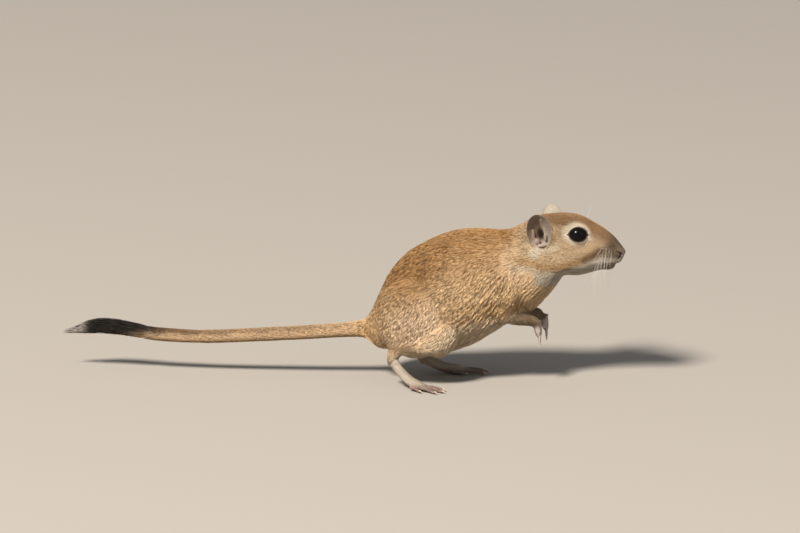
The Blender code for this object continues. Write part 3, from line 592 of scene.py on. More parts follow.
coat_table = np.array([COATS[kind] for kind in COAT_KINDS])
skin_points = points_of(skin_mesh)
skin_kinds = kinds_at(skin_points)
skin_edges = edges_of(skin_mesh)
softness = spread(coat_table[skin_kinds][:, SOFTNESS:], skin_edges, 12)[:, 0]
softened = skin.modifiers.new("softened facets", "SMOOTH")
softened.vertex_group = weigh(skin, "softness", softness)
softened.factor = 0.8
softened.iterations = SOFT_ROUNDS
settled(skin)

FINE_FACE = 7.0  # how far round an eye the skin's faces stay small
eye_gap = np.minimum(*(
    np.linalg.norm(skin_points - in_body(eye_middle[side]), axis=1) for side in SIDES
))
on_nose = is_kind(skin_kinds, "head") & (to_head(skin_points)[:, 0] > 35.0)
kept_fine = (eye_gap < FINE_FACE) | on_nose
fewer = skin.modifiers.new("fewer faces", "DECIMATE")
fewer.vertex_group = weigh(skin, "coarse", 1.0 - kept_fine)
fewer.ratio = SKIN_TRIANGLES / sum(len(face.vertices) - 2 for face in skin.data.polygons)
fewer.use_collapse_triangulate = True
skin_mesh = settled(skin)

TAIL_DEPTH = COATS["tail_root"][DEPTH]
skin_points = points_of(skin_mesh)
skin_kinds = kinds_at(skin_points)
skin_edges = edges_of(skin_mesh)
skin_values = spread(coat_table[skin_kinds], skin_edges, 36)
face_or_ear = is_kind(skin_kinds, "ear", "hind_foot", "forepaw")
skin_values[face_or_ear] = coat_table[skin_kinds[face_or_ear]]
muzzle = is_kind(skin_kinds, "head") * rise(to_head(skin_points)[:, 0], 28.0, 40.0)
depth = skin_values[:, DEPTH] * (1 - 0.8 * muzzle)
at_tail = TAIL_DEPTH + (depth - TAIL_DEPTH) * rise(skin_points[:, 0], -3.0, 13.0)
depth = np.minimum(depth, at_tail)
from_solids = spread(1.0 - face_or_ear[:, None], skin_edges, 12)[:, 0] ** 2
depth = depth + (CUT_CLOSED - 0.1) * from_solids
skin_points = skin_points - normals_of(skin_mesh) * depth[:, None]
put_points(skin_mesh, skin_points)

# The lids close round the ball to an almond. The comma of each nostril, the groove under the nose
# and the line of the mouth are pressed into the skin, and the whisker pads stand out beside them.
EYE_RADIUS = 4.3
EYE_FACING = (0.30, 0.92, 0.25)
OPENING = (1.12, 0.80)  # half length and half height of the almond, as angles from its middle
LID_RIM = 0.40  # how far the rim of the lids stands off the ball
LID_SLOPE = 0.10  # how wide the wet edge of the lids is, as a share of the opening
DARK_LENS = (1.36, 0.86)  # the same for the dark skin round it, which runs out into two points


def eye_turn(side):
    """The eye's axes as columns: forward along the opening, up the face and out of the head."""
    outward = (head_turn @ Vector(mirrored(EYE_FACING, side))).normalized()
    upward = outward.cross(head_up.cross(outward)).normalized()
    ahead = upward.cross(outward) * (1 if side == "right" else -1)
    return Matrix((ahead, upward, outward)).transposed()


def in_eye(points, side):
    """Places about the middle of an eye, forward along the opening, up and out."""
    return (points - in_body(eye_middle[side])) @ np.array(eye_turn(side))


def arcs_from(places):
    """The angles forward and up from the middle of the opening to places about an eye."""
    aside = np.hypot(places[:, 0], places[:, 1]) + 1e-6
    return places[:, :2] * (np.arctan2(aside, places[:, 2]) / aside)[:, None]


def almond(arcs):
    """How far out of the opening a place is: 0 in its middle and 1 on the rim."""
    wide, tall = np.abs(arcs[:, 0]) / OPENING[0], np.abs(arcs[:, 1]) / OPENING[1]
    return (wide ** 1.8 + tall ** 1.8) ** (1 / 1.8)


def shape_lids(points):
    """Draws the skin back behind each ball inside the almond, and lays the lids round its rim."""
    for side in SIDES:
        places = in_eye(points, side)
        reach = np.linalg.norm(places, axis=1)
        near = (reach < 9.0) & (places[:, 2] > 0.0)
        place = places[near]
        far = reach[near]
        arcs = arcs_from(place)
        out = almond(arcs)
        rim = np.clip((out - 1.0) / LID_SLOPE, -1.4, 1.0) * LID_RIM
        crease = 0.16 * np.exp(-((out - 1.27) / 0.06) ** 2)
        wanted = EYE_RADIUS + rim + 0.15 * rise(out, 1.3, 1.5) - crease
        hold = 1 - rise(out, 1.32, 1.8)
        hold = hold * (1 - rise(np.linalg.norm(arcs, axis=1), 1.2, 1.52))
        target = far + (wanted - far) * hold
        points[near] += ((target / far - 1)[:, None] * place) @ np.array(eye_turn(side)).T
    return points


def near_line(places, line):
    """The distance of each place from a line through points."""
    nearest = np.full(len(places), 1e9)
    for start, end in zip(line, line[1:]):
        start, end = np.array(start), np.array(end)
        run = end - start
        share = np.clip((places - start) @ run / (run @ run), 0.0, 1.0)
        gap = np.linalg.norm(places - start - share[:, None] * run, axis=1)
        nearest = np.minimum(nearest, gap)
    return nearest


# Soft hollows and, with a negative depth, swellings of the left side of the face: the middle
# forward, aside and up from the back of the skull, half sizes, and depth.
FACE_FORMS = (
    ((39.6, 3.6, 2.2), (3.0, 1.9, 1.7), 0.75),
    ((37.0, 4.8, -3.0), (3.2, 2.2, 2.4), -0.42),
    ((41.0, 2.1, 0.3), (1.1, 0.9, 0.6), -0.28),
    ((40.2, 2.9, -3.9), (1.3, 1.2, 1.1), -0.30),
    ((40.6, 0.0, -4.4), (2.2, 3.0, 2.2), -0.75),
    ((41.8, 1.7, -1.2), (0.75, 0.7, 0.6), 1.0),
    ((36.0, 3.6, -7.6), (3.4, 1.0, 1.0), 0.35),
)
# Grooves on the left side: their line, half width and depth.
NOSTRIL = ((40.1, 3.2, 0.35), (41.2, 2.6, -0.05), (41.9, 1.9, -0.9), (41.7, 2.0, -1.8),
           (40.7, 2.8, -2.6))
MOUTH = ((29.5, 6.0, -6.9), (32.0, 5.0, -6.8), (34.8, 4.1, -6.5), (38.0, 2.5, -5.8),
         (39.7, 0.0, -5.2))
PHILTRUM = ((42.9, 0.0, -1.7), (42.3, 0.0, -3.1), (41.0, 0.0, -4.4), (39.5, 0.0, -5.5))
PAD_FOLD = ((33.8, 6.6, 0.2), (31.6, 7.6, -1.7), (29.9, 8.3, -2.9), (27.6, 9.2, -4.2))
FACE_GROOVES = (
    (NOSTRIL, 0.36, 0.55),
    (MOUTH, 0.30, 0.50),
    (PHILTRUM, 0.28, 0.42),
    (PAD_FOLD, 0.75, 0.30),
)


def both_sides(points):
    """Places of the head, all turned to its left side."""
    places = to_head(points)
    places[:, 1] = np.abs(places[:, 1])
    return places


def shape_face(points, normals):
    """Presses the forms and grooves of the face into the skin, alike on both sides."""
    places = both_sides(points)
    press = np.zeros(len(points))
    for middle, half_sizes, amount in FACE_FORMS:
        gap = (places - np.array(middle)) / np.array(half_sizes)
        press += amount * np.exp(-np.sum(gap ** 2, axis=1) * 1.2)
    for line, half_width, amount in FACE_GROOVES:
        press += amount * np.exp(-(near_line(places, eased(line, 4)) / half_width) ** 2)
    return points - normals * press[:, None]


skin_points = shape_lids(points_of(skin_mesh))
skin_points = shape_face(skin_points, normals_of(skin_mesh))
skin_points[:, 2] = np.maximum(skin_points[:, 2], 0.02)
put_points(skin_mesh, skin_points)
skin_mesh.shade_smooth()


# Markings
# The coat of a sandy jird: tawny above with dark and pale hairs mixed in, buff on the flanks,
# white below, with a pale ring round the eye and a tail that ends in black with a white tip. The
# skin under the coat is painted the same, so that it can't be told through the hair. Shade is
# painted in as well: in the ears' canals, the nostrils, the mouth line and the fold behind each
# whisker pad, under the jaw, under the tail, along the lower flank, at the roots of the tufts and
# in the grooves of the streaks.

BACK = (0.28, 0.148, 0.052)
FLANK = (0.56, 0.39, 0.22)
RUMP = (0.58, 0.37, 0.18)
HAUNCH = (0.63, 0.475, 0.325)
BELLY = (0.54, 0.42, 0.29)
ARM = (0.18, 0.12, 0.065)
CROWN = (0.205, 0.115, 0.052)
CHEEK = (0.41, 0.30, 0.185)
# Orange-brown: the real edge of the cheek's sandy coat, and painted shade on the lower flank and
# under the tail.
CHEEK_EDGE_AND_SHADE = (0.33, 0.20, 0.085)
THROAT = (0.45, 0.39, 0.31)
# A dark tone for painted shade under the jaw.
CHIN_SHADE = (0.20, 0.16, 0.12)
EYE_RING = (0.54, 0.475, 0.37)
MUZZLE = (0.086, 0.061, 0.041)
MUZZLE_PALE = (0.165, 0.13, 0.098)
NOSE = (0.20, 0.155, 0.135)
# The dark bare skin of the lids, also used for painted shade in the nostrils and along the mouth.
DARK_LIDS_AND_HOLLOW_SHADE = (0.03, 0.02, 0.016)
# Dark hair, also used for painted shade in the fold behind the whisker pad.
DARK_HAIR_AND_FOLD_SHADE = (0.10, 0.06, 0.035)
PALE_HAIR = (0.66, 0.54, 0.38)
TAIL_BUFF = (0.45, 0.305, 0.18)
TAIL_TOP = (0.15, 0.085, 0.04)
TUFT_BLACK = (0.011, 0.008, 0.006)
TIP_WHITE = (0.30, 0.275, 0.25)
FOOT_WHITE = (0.38, 0.33, 0.26)
TOE_PINK = (0.21, 0.145, 0.12)
HAND_GREY = (0.38, 0.325, 0.29)
EAR_INNER = (0.20, 0.14, 0.10)
EAR_LOBE = (0.25, 0.195, 0.165)
EAR_CANAL_SHADE = (0.012, 0.005, 0.003)
EAR_HAIRED = (0.205, 0.17, 0.14)
EAR_CREAM = (0.27, 0.235, 0.185)

# The lower border of the sandy coat: x from the root of the tail and the height it runs at.
FLANK_BORDER = (
    (0.0, 14.0), (12.0, 16.8), (25.0, 16.8), (31.5, 22.3), (38.3, 28.3), (47.3, 32.2),
    (60.8, 33.0), (74.3, 35.5), (81.0, 38.0), (85.0, 46.0), (92.0, 56.0),
)
# The same on the cheek, forward and up from the back of the skull.
CHEEK_BORDER = (
    (-6.0, -6.5), (1.6, -7.5), (9.4, -9.3), (15.9, -9.2), (22.4, -7.7), (26.7, -5.4),
    (31.1, -2.8), (36.0, -2.6),
)
# How wide the pale ring round the eye is above, below, behind and in front.
RING_WIDTH = {"above": 2.7, "below": 1.2, "behind": 2.4, "ahead": 1.3}
LIDS_OUTER = (4.5, 3.3)  # half length and half height of the dark lids that the ring runs round
WHISKER_ROWS = (2.2, 0.9, -0.5, -1.9, -3.2)  # the height of each row on the pad
WHISKER_STEP = 1.15  # from one whisker of a row to the next
WHISKER_FRONT = 38.6
WHISKERS_A_ROW = 5


def whisker_places():
    """The roots of the left whiskers, forward, aside and up, with their row and their number."""
    return [
        ((WHISKER_FRONT - WHISKER_STEP * number - 0.2 * row, 5.6, height), row, number)
        for row, height in enumerate(WHISKER_ROWS)
        for number in range(WHISKERS_A_ROW - (row == 0))
    ]


def blended(colour, other, share):
    """Rows of colour run into another by a share for each row."""
    return colour + (np.array(other) - colour) * share[:, None]


def ear_places(points, side):
    """Forward, up and out from the middle of an ear's cup."""
    root, forward, upward, outward = ear_frame(side)
    axes = np.array(Matrix((forward, upward, outward)).transposed())
    return (points - np.array(root + upward * EAR_RISE)) @ axes


def body_colours(points):
    """The colours of trunk and limbs."""
    x, z = points[:, 0], points[:, 2]
    over = z - np.interp(x, *zip(*FLANK_BORDER))
    colour = np.tile(np.array(FLANK), (len(points), 1))
    haunch = np.hypot((x - 24.0) / 17.0, (z - 30.0) / 17.0)
    colour = blended(colour, HAUNCH, 0.8 * (1 - rise(haunch, 0.3, 1.2)))
    colour = blended(colour, BACK, rise(over, 12.0, 34.0))
    shoulder = np.hypot((x - 71.0) / 9.0, (z - 56.0) / 7.5)
    colour = blended(colour, HAUNCH, 0.75 * (1 - rise(shoulder, 0.2, 1.3)))
    colour = blended(colour, RUMP, rise(-x, -14.0, 2.0) * (1 - rise(z, 40.0, 56.0)))
    # Painted shade: a darker orange-brown band along the lower flank, just above the white belly.
    low_flank_shade = np.exp(-((over - 5.5) / 4.5) ** 2 - ((x - 60.0) / 16.0) ** 2)
    colour = blended(colour, CHEEK_EDGE_AND_SHADE, 0.65 * low_flank_shade)
    return blended(colour, BELLY, 1 - rise(over, -3.0, 2.4))


def eye_ring(points, side):
    """How far out of the opening each point is, and its share of the dark corners and the ring."""
    places = in_eye(points, side)
    near = (np.linalg.norm(places, axis=1) < 10.0) & (places[:, 2] > -2.0)
    arcs = arcs_from(places)
    ahead, above = arcs.T
    width = np.abs(ahead) * np.where(ahead > 0, RING_WIDTH["ahead"], RING_WIDTH["behind"])
    width += np.abs(above) * np.where(above > 0, RING_WIDTH["above"], RING_WIDTH["below"])
    width /= np.abs(ahead) + np.abs(above) + 1e-6
    out = np.where(near, almond(arcs), 9.0)
    flat = np.hypot(places[:, 0], places[:, 1])
    lids = np.hypot(places[:, 0] / LIDS_OUTER[0], places[:, 1] / LIDS_OUTER[1])
    beyond = flat * (1 - 1 / np.maximum(lids, 0.2))
    ring = np.where(near, 1 - rise(beyond, 0.25 * width, width + 0.8), 0.0)
    lens = np.abs(ahead / DARK_LENS[0]) ** 1.35 + np.abs(above / DARK_LENS[1]) ** 1.35
    dark = np.where(near, 1 - rise(lens, 0.94, 1.08), 0.0)
    return out, dark, ring


def head_colours(points):
    """The colours of the head."""
    places = both_sides(points)
    u, aside, w = places.T
    colour = np.tile(np.array(CHEEK), (len(points), 1))
    colour = blended(colour, CROWN, rise(w + 0.22 * (u - 20.0) - 0.4 * aside, 2.5, 9.0))
    temple = near_line(places, ((15.6, 10.5, 11.0), (13.6, 11.5, 4.5)))
    colour = blended(colour, CROWN, 0.6 * (1 - rise(temple, 0.8, 3.4)))
    border = np.interp(u, *zip(*CHEEK_BORDER))
    colour = blended(colour, CHEEK_EDGE_AND_SHADE, 0.85 * np.exp(-((w - border - 2.0) / 1.7) ** 2))
    stripe = near_line(places, ((15.5, 11.0, 1.4), (8.5, 12.5, -1.6)))
    colour = blended(colour, EYE_RING, 0.55 * (1 - rise(stripe, 0.6, 2.0)))
    under_ear = np.linalg.norm((places - np.array((6.0, 12.0, -1.8))) / 3.0, axis=1)
    colour = blended(colour, EYE_RING, 0.85 * (1 - rise(under_ear, 0.5, 1.2)))
    colour = blended(colour, MUZZLE, 0.9 * rise(u - 0.25 * w, 32.5, 37.5))
    pad = np.linalg.norm((places - np.array((36.8, 5.0, -2.4))) / np.array((3.6, 3, 3.0)), axis=1)
    colour = blended(colour, MUZZLE_PALE, 0.5 * (1 - rise(pad, 0.5, 1.15)))
    colour = blended(colour, THROAT, 1 - rise(w - border, -1.3, 1.1))
    # Painted shade under the jaw and the front of the chin.
    colour = blended(colour, CHIN_SHADE, 0.7 * rise(u, 29.0, 35.0) * (1 - rise(w, -6.0, -3.0)))
    # Dark hair and painted shade along the fold behind the whisker pad.
    fold = near_line(places, PAD_FOLD)
    colour = blended(colour, DARK_HAIR_AND_FOLD_SHADE, 0.9 * (1 - rise(fold, 0.8, 2.9)))
    for place, _, _ in whisker_places():
        dot = np.hypot(u - place[0], w - place[2])
        colour = blended(colour, DARK_HAIR_AND_FOLD_SHADE, 0.85 * (1 - rise(dot, 0.12, 0.42)) * (aside > 2.0))
    colour = blended(colour, NOSE, rise(u, 41.3, 42.6) * (1 - 0.7 * rise(w, -0.4, 0.9)))
    # Painted shade in the openings of the nostrils.
    nostril = near_line(places, NOSTRIL)
    colour = blended(colour, DARK_LIDS_AND_HOLLOW_SHADE, 1 - rise(nostril, 0.25, 0.7))
    # Painted shade along the line of the mouth.
    mouth = near_line(places, MOUTH)
    colour = blended(colour, DARK_LIDS_AND_HOLLOW_SHADE, 0.7 * (1 - rise(mouth, 0.1, 0.5)))
    for side in SIDES:
        out, dark, ring = eye_ring(points, side)
        colour = blended(colour, EYE_RING, ring)
        colour = blended(colour, DARK_LIDS_AND_HOLLOW_SHADE, np.maximum(dark, 1 - rise(out, 1.06, 1.16)))
    return colour


def ear_colours(points, normals):
    """The colours of the ears: bare inside, cream behind, and haired along the front."""
    left_side = to_head(points)[:, 1:2] > 0
    places = np.where(left_side, ear_places(points, "left"), ear_places(points, "right"))
    outward = np.where(left_side, np.array(ear_frame("left")[3]), np.array(ear_frame("right")[3]))
    facing = np.sum(normals * outward, axis=1)
    ahead, above, out = places.T
    colour = np.tile(np.array(EAR_INNER), (len(points), 1))
    colour = blended(colour, EAR_LOBE, rise(-above, 2.8, 5.2))
    # Painted shade: the deep canal is painted nearly black at the bottom of the cup.
    canal = np.hypot((ahead - 0.6) / 2.1, (above + 2.2) / 3.6)
    colour = blended(colour, EAR_CANAL_SHADE, (1 - rise(canal, 0.4, 1.25)) * (1 - rise(out, -2.6, -1.2)))
    margin = rise(ahead + 0.12 * above, 1.7, 2.7)
    colour = blended(colour, EAR_HAIRED, margin)
    edge = np.exp(-((ahead + 0.12 * above - 2.3) / 0.55) ** 2) * rise(above, -5.0, -2.0)
    colour = blended(colour, EAR_CREAM, 0.8 * edge)
    rim = np.hypot(ahead / EAR_HALF_WIDTH, above / EAR_HALF_HEIGHT)
    colour = blended(colour, EAR_HAIRED, rise(rim, 0.92, 1.0))
    return blended(colour, EAR_CREAM, 1 - rise(facing, -0.25, 0.05))


def tail_colours(points, normals):
    """Buff with painted shade below, a dark line on top that spreads to black, and a white tip."""
    x = points[:, 0]
    top = normals[:, 2]
    colour = np.tile(np.array(TAIL_BUFF), (len(points), 1))
    # Painted shade on the underside of the tail and on the locks that face down.
    colour = blended(colour, CHEEK_EDGE_AND_SHADE, 0.7 * rise(-top, 0.2, 0.8))
    colour = blended(colour, TAIL_TOP, 0.5 * rise(top, 0.1, 0.8) * rise(-x, -4.0, 30.0))
    colour = blended(colour, TAIL_TOP, 0.7 * rise(top, 0.3, 0.8) * rise(-x, 55.0, 80.0))
    dark = rise(-x + 9.0 * top, 84.0, 108.0)
    colour = blended(colour, TUFT_BLACK, dark)
    return blended(colour, TIP_WHITE, rise(-x, 125.0, 128.5))


def foot_colours(points):
    """White hind feet with pinkish toes, and grey-brown hands."""
    colour = np.tile(np.array(FOOT_WHITE), (len(points), 1))
    colour = blended(colour, TOE_PINK, 1 - rise(points[:, 2], 1.5, 3.6))
    return blended(colour, HAND_GREY, (points[:, 0] > 60.0) * 1.0)


def painted(points, normals, kinds):
    """The coat's colour at each point, by the kind of coat there."""
    colour = body_colours(points)
    u, _, w = both_sides(points).T
    under = w - np.interp(u, *zip(*CHEEK_BORDER))
    low_down = (1 - rise(under, -7.5, -5.5)) * (1 - rise(u, 13.0, 18.0))
    head_share = np.where(under > -1.0, rise(u, -7.0, 1.0), rise(u, 4.0, 8.0)) * (1 - low_down)
    head_share = head_share * is_kind(kinds, "head", "neck")
    colour = colour * (1 - head_share[:, None]) + head_colours(points) * head_share[:, None]
    tail = rise(-points[:, 0], -2.0, 3.0)
    colour = colour * (1 - tail[:, None]) + tail_colours(points, normals) * tail[:, None]
    ear = is_kind(kinds, "ear")
    colour[ear] = ear_colours(points[ear], normals[ear])
    foot = is_kind(kinds, "hind_foot", "forepaw")
    colour[foot] = foot_colours(points[foot])
    pale = is_kind(kinds, "lower_leg", "forearm")
    low = 1 - rise(points[pale, 2], 12.0, 17.0) * (points[pale, 0] < 50.0)
    colour[pale] = blended(colour[pale], BELLY, low)
    arm = is_kind(kinds, "forearm")
    colour[arm] = blended(colour[arm], ARM, 0.8 * rise(points[arm, 0], 62.0, 68.0))
    return colour


def add_colours(mesh, name, colours):
    """Keeps a colour at each point of the mesh, for its material to read."""
    rows = np.ones((len(colours), 4), dtype=np.float32)
    rows[:, :3] = colours
    layer = mesh.color_attributes.new(name, "FLOAT_COLOR", "POINT")
    layer.data.foreach_set("color", rows.ravel())


skin_normals = normals_of(skin_mesh)
skin_colours = painted(skin_points, skin_normals, skin_kinds)
body_only = ~is_kind(skin_kinds, "head", "ear")
skin_colours[body_only] = spread(skin_colours, skin_edges, 3)[body_only]
add_colours(skin_mesh, "coat", skin_colours)


def nodes_of(material):
    """The material's node tree and its shader."""
    material.use_nodes = True
    tree = material.node_tree
    return tree, tree.nodes["Principled BSDF"]


def coat_material(name, contrast, roughness, bump, grain=None):
    """Hair or hide that takes the markings. Hide is broken up by flecks as big as its grain. Hair
    has none, and is broken up along its own length into fine strands."""
    material = bpy.data.materials.new(name)
    tree, shader = nodes_of(material)
    colour = tree.nodes.new("ShaderNodeAttribute")
    colour.attribute_name = "coat"
    flecks = tree.nodes.new("ShaderNodeTexNoise")
    flecks.inputs["Detail"].default_value = 3.0
    if grain:
        where = tree.nodes.new("ShaderNodeTexCoord")
        flecks.inputs["Scale"].default_value = 1 / (grain * MM)
        tree.links.new(where.outputs["Object"], flecks.inputs["Vector"])
    else:
        strand = tree.nodes.new("ShaderNodeAttribute")
        strand.attribute_name = "strand"
        flecks.inputs["Scale"].default_value = 1.0
        tree.links.new(strand.outputs["Vector"], flecks.inputs["Vector"])
    shade = tree.nodes.new("ShaderNodeMapRange")
    shade.inputs["From Min"].default_value = 0.3
    shade.inputs["From Max"].default_value = 0.7
    shade.inputs["To Min"].default_value = 1 - contrast
    shade.inputs["To Max"].default_value = 1 + contrast
    tree.links.new(flecks.outputs["Fac"], shade.inputs["Value"])
    product = tree.nodes.new("ShaderNodeVectorMath")
    product.operation = "SCALE"
    tree.links.new(colour.outputs["Color"], product.inputs[0])
    tree.links.new(shade.outputs["Result"], product.inputs["Scale"])
    tree.links.new(product.outputs["Vector"], shader.inputs["Base Color"])
    raised = tree.nodes.new("ShaderNodeBump")
    raised.inputs["Strength"].default_value = bump
    raised.inputs["Distance"].default_value = 0.1 * MM
    tree.links.new(flecks.outputs["Fac"], raised.inputs["Height"])
    tree.links.new(raised.outputs["Normal"], shader.inputs["Normal"])
    shader.inputs["Roughness"].default_value = roughness
    shader.inputs["Specular IOR Level"].default_value = 0.22
    return material


skin_mesh.materials.clear()
skin_mesh.materials.append(coat_material("hide", 0.22, 0.68, 0.7, grain=0.4))
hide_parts(*covered)
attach(skin, "root")


# Eyes
# Large, dark balls of glass, set behind the lids. They are nearly black, wet and very glossy.

eye_glass = bpy.data.materials.new("eye glass")
tree, shader = nodes_of(eye_glass)
depth_tint = tree.nodes.new("ShaderNodeTexNoise")
depth_tint.inputs["Scale"].default_value = 400.0
tint = tree.nodes.new("ShaderNodeMix")
tint.data_type = "RGBA"
tint.inputs["A"].default_value = (0.002, 0.002, 0.003, 1.0)
tint.inputs["B"].default_value = (0.005, 0.004, 0.004, 1.0)
tree.links.new(depth_tint.outputs["Fac"], tint.inputs["Factor"])
tree.links.new(tint.outputs["Result"], shader.inputs["Base Color"])
shader.inputs["Roughness"].default_value = 0.17
shader.inputs["Specular IOR Level"].default_value = 0.10

for side in SIDES:
    place = in_body(eye_middle[side])
    eye_mesh = ball(f"eyeball_{side}", place, (EYE_RADIUS,) * 3, eye_turn(side), 64, 40)
    eye_mesh.shade_smooth()
    eye_mesh.materials.append(eye_glass)
    eyeball = linked(f"eyeball_{side}", eye_mesh)
    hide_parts(f"eye_{side}")
    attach(eyeball, "root")


# Claws
# Small, curved, tapered claws of pale horn, one at the tip of each toe and finger, set into the
# pad. They are a little deeper than wide, and lie just off the ground.

horn = bpy.data.materials.new("horn")
tree, shader = nodes_of(horn)
bands = tree.nodes.new("ShaderNodeTexNoise")
bands.inputs["Scale"].default_value = 900.0
horn_tint = tree.nodes.new("ShaderNodeMix")
horn_tint.data_type = "RGBA"
horn_tint.inputs["A"].default_value = (0.30, 0.21, 0.14, 1.0)
horn_tint.inputs["B"].default_value = (0.50, 0.39, 0.28, 1.0)
tree.links.new(bands.outputs["Fac"], horn_tint.inputs["Factor"])
tree.links.new(horn_tint.outputs["Result"], shader.inputs["Base Color"])
shader.inputs["Roughness"].default_value = 0.32

# Along a claw: share of its length, rise, half width and half depth.
CLAW = ((0.0, 0.0, 0.40, 0.44), (0.3, 0.14, 0.33, 0.40), (0.6, 0.02, 0.22, 0.29),
        (0.85, -0.30, 0.10, 0.15), (1.0, -0.62, 0.03, 0.04))


def claw(base, heading, length, claw_length, lift, droop, size):
    """One claw, from inside the pad at the end of its toe or finger."""
    start = base + heading * length * 0.90 - lift * (0.42 * droop)
    rows = [
        (*(start + heading * claw_length * share * 1.05 + lift * up), wide * size, deep * size)
        for share, up, wide, deep in CLAW
    ]
    rows = [(*row[:2], max(row[2], 0.06 + row[4]), *row[3:]) for row in rows]
    return limb("claw", eased(rows, 3), 10, upright=lift)


def add_claws(name, forms):
    """All the claws of one foot or hand."""
    mesh = join_meshes(name, forms)
    mesh.shade_smooth()
    mesh.materials.append(horn)
    claws = linked(name, mesh)
    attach(claws, "root")


for side in SIDES:
    toes = [claw(*toe, TOE_CLAW, Vector((0, 0, 1)), TOE_DROOP, 1.0) for toe in toes_of(side)]
    add_claws(f"toe_claws_{side}", toes)
    back_of_hand = hand_frame(side)[3]
    fingers = [
        claw(*finger, FINGER_CLAW, back_of_hand, FINGER_DROOP, 0.66) for finger in fingers_of(side)
    ]
    add_claws(f"finger_claws_{side}", fingers)


# Coat
# Short, dense hair that lies close, longest on the back and flanks and smallest on the face and
# feet. It is set as small pointed tufts of solid mesh, rooted in the skin and combed along the
# lie of the coat, drawn together into streaks as the real hair is.

dice = np.random.default_rng(5959)

# Strokes of a comb along the middle and the right and left sides of the trunk. Each point is x,
# how far to the side, and z, from the root of the tail.
BODY_STROKES = (
    ((90, 0, 73), (78, 0, 73), (64, 0, 70), (45, 0, 69), (24, 0, 61), (10, 0, 46), (2, 0, 28)),
    ((84, 8, 69), (70, 11, 66), (52, 13, 65), (34, 14, 61), (20, 14, 53), (9, 12, 38), (4, 8, 26)),
    ((72, 14, 57), (66, 16, 47), (61, 17, 38), (55, 16, 30), (47, 13, 22)),
    ((58, 18, 59), (50, 20, 50), (42, 21, 40), (36, 21, 31), (29, 20, 24)),
    ((42, 20, 58), (32, 22, 49), (22, 21, 38), (14, 17, 27), (9, 13, 20)),
    ((24, 17, 54), (14, 17, 43), (8, 15, 32), (5, 11, 22)),
    ((84, 9, 56), (77, 12, 49), (70, 14, 41), (65, 14, 34)),
    ((40, 21, 32), (33, 20, 24), (24, 18, 18), (15, 15, 15)),
    ((86, 0, 47), (74, 0, 33), (60, 0, 23), (44, 0, 14), (28, 0, 11), (12, 0, 14)),
    ((60, 12, 28), (48, 14, 19), (36, 13, 13)),
)
SPINE_ASIDE = ((0.0, 3.5), (30.0, 1.5), (60.0, -1.0), (89.0, -5.4))  # x and y of the middle line
# Strokes on the head, forward, aside and up from the back of the skull.
HEAD_STROKES = (
    ((43, 0, 1), (38, 0, 6.5), (32, 0, 11), (24, 0, 15), (12, 0, 15.2), (0, 0, 12), (-8, 0, 9)),
    ((42, 2.4, -1), (37, 5.5, -0.5), (32, 7.6, 1), (28, 9, 1)),
    ((33, 5.5, 7), (28, 7, 11), (22, 8.5, 13), (14, 9.5, 12), (6, 9, 11)),
    ((32, 7.4, -1), (26, 9.8, -0.5), (18, 11.6, 0), (11, 12, 1)),
    ((32, 6, -5), (24, 9.5, -6), (14, 12, -6), (4, 12, -6), (-4, 11, -8)),
    ((39, 0, -6), (30, 0, -11), (18, 0, -13), (4, 0, -13)),
    ((17, 11, 6), (12, 12, 6), (9, 12, 6)),
)


def strokes():
    """Starts and ends of all the short straight runs of the comb."""
    lines = []
    for line in BODY_STROKES:
        for sign in (-1, 1):
            lines.append([(x, np.interp(x, *zip(*SPINE_ASIDE)) + sign * y, z) for x, y, z in line])
    for line in HEAD_STROKES:
        for side in SIDES:
            lines.append([tuple(from_head(mirrored(p, side))) for p in line])
    for side in SIDES:
        arm = [tuple(in_body(middle_of(f"{n}_{side}"))) for n in ("upper_arm", "forearm")]
        wrist, down, across, front = hand_frame(side)
        lines.append([*arm, tuple(wrist), tuple(wrist + down * 11.0)])
        leg = [tuple(in_body(middle_of(f"{n}_{side}"))) for n in ("thigh", "lower_leg")]
        lines.append([*leg, FOOT[side][1][:3], FOOT[side][3][:3], FOOT[side][-1][:3]])
        lines += [[tuple(base), tuple(base + way * far)] for base, way, far in toes_of(side)]
        root, forward, upward, outward = ear_frame(side)
        lines.append([tuple(root + upward * s) for s in (-4.0, 4.0, 12.0)])
    lines.append([p[:3] for p in (*TAIL_CORE, *TAIL_END[1:])])
    return [pair for line in lines for pair in zip(line, line[1:])]


def lie_of_coat(points, normals):
    """The way the hair lies at each point: the near strokes' ways, laid along the skin."""
    way = np.zeros_like(points)
    for start, end in strokes():
        run = np.subtract(end, start) / np.linalg.norm(np.subtract(end, start))
        way += run / (near_line(points, (start, end))[:, None] + 1.0) ** 4
    way -= normals * np.sum(way * normals, axis=1)[:, None]
    return way / np.linalg.norm(way, axis=1)[:, None]


def ripple(points, size, seed):
    """Soft, uneven waves of about one size, between -1 and 1."""
    waves = np.random.default_rng(seed)
    total = np.zeros(len(points))
    count = 7
    for _ in range(count):
        way = waves.normal(size=3)
        way *= 2 * math.pi / size / np.linalg.norm(way) * waves.uniform(0.6, 1.5)
        total += np.sin(points @ way + waves.uniform(0, 2 * math.pi))
    return total / math.sqrt(count)


STREAK_WAVES = 220
STREAK_LENGTH = 1.7


def streaks(points, lie, size, seed):
    """Uneven waves of about one size across the lie of the coat, which run on long along it."""
    waves = np.random.default_rng(seed)
    total = np.zeros(len(points))
    weight = np.full(len(points), 1e-3)
    for _ in range(STREAK_WAVES):
        way = waves.normal(size=3)
        way *= 2 * math.pi / size / np.linalg.norm(way) * waves.uniform(0.6, 1.5)
        share = np.exp(-((lie @ way) * STREAK_LENGTH) ** 2 / 2)
        total += share * np.sin(points @ way + waves.uniform(0, 2 * math.pi))
        weight += share ** 2 / 2
    return total / np.sqrt(weight)


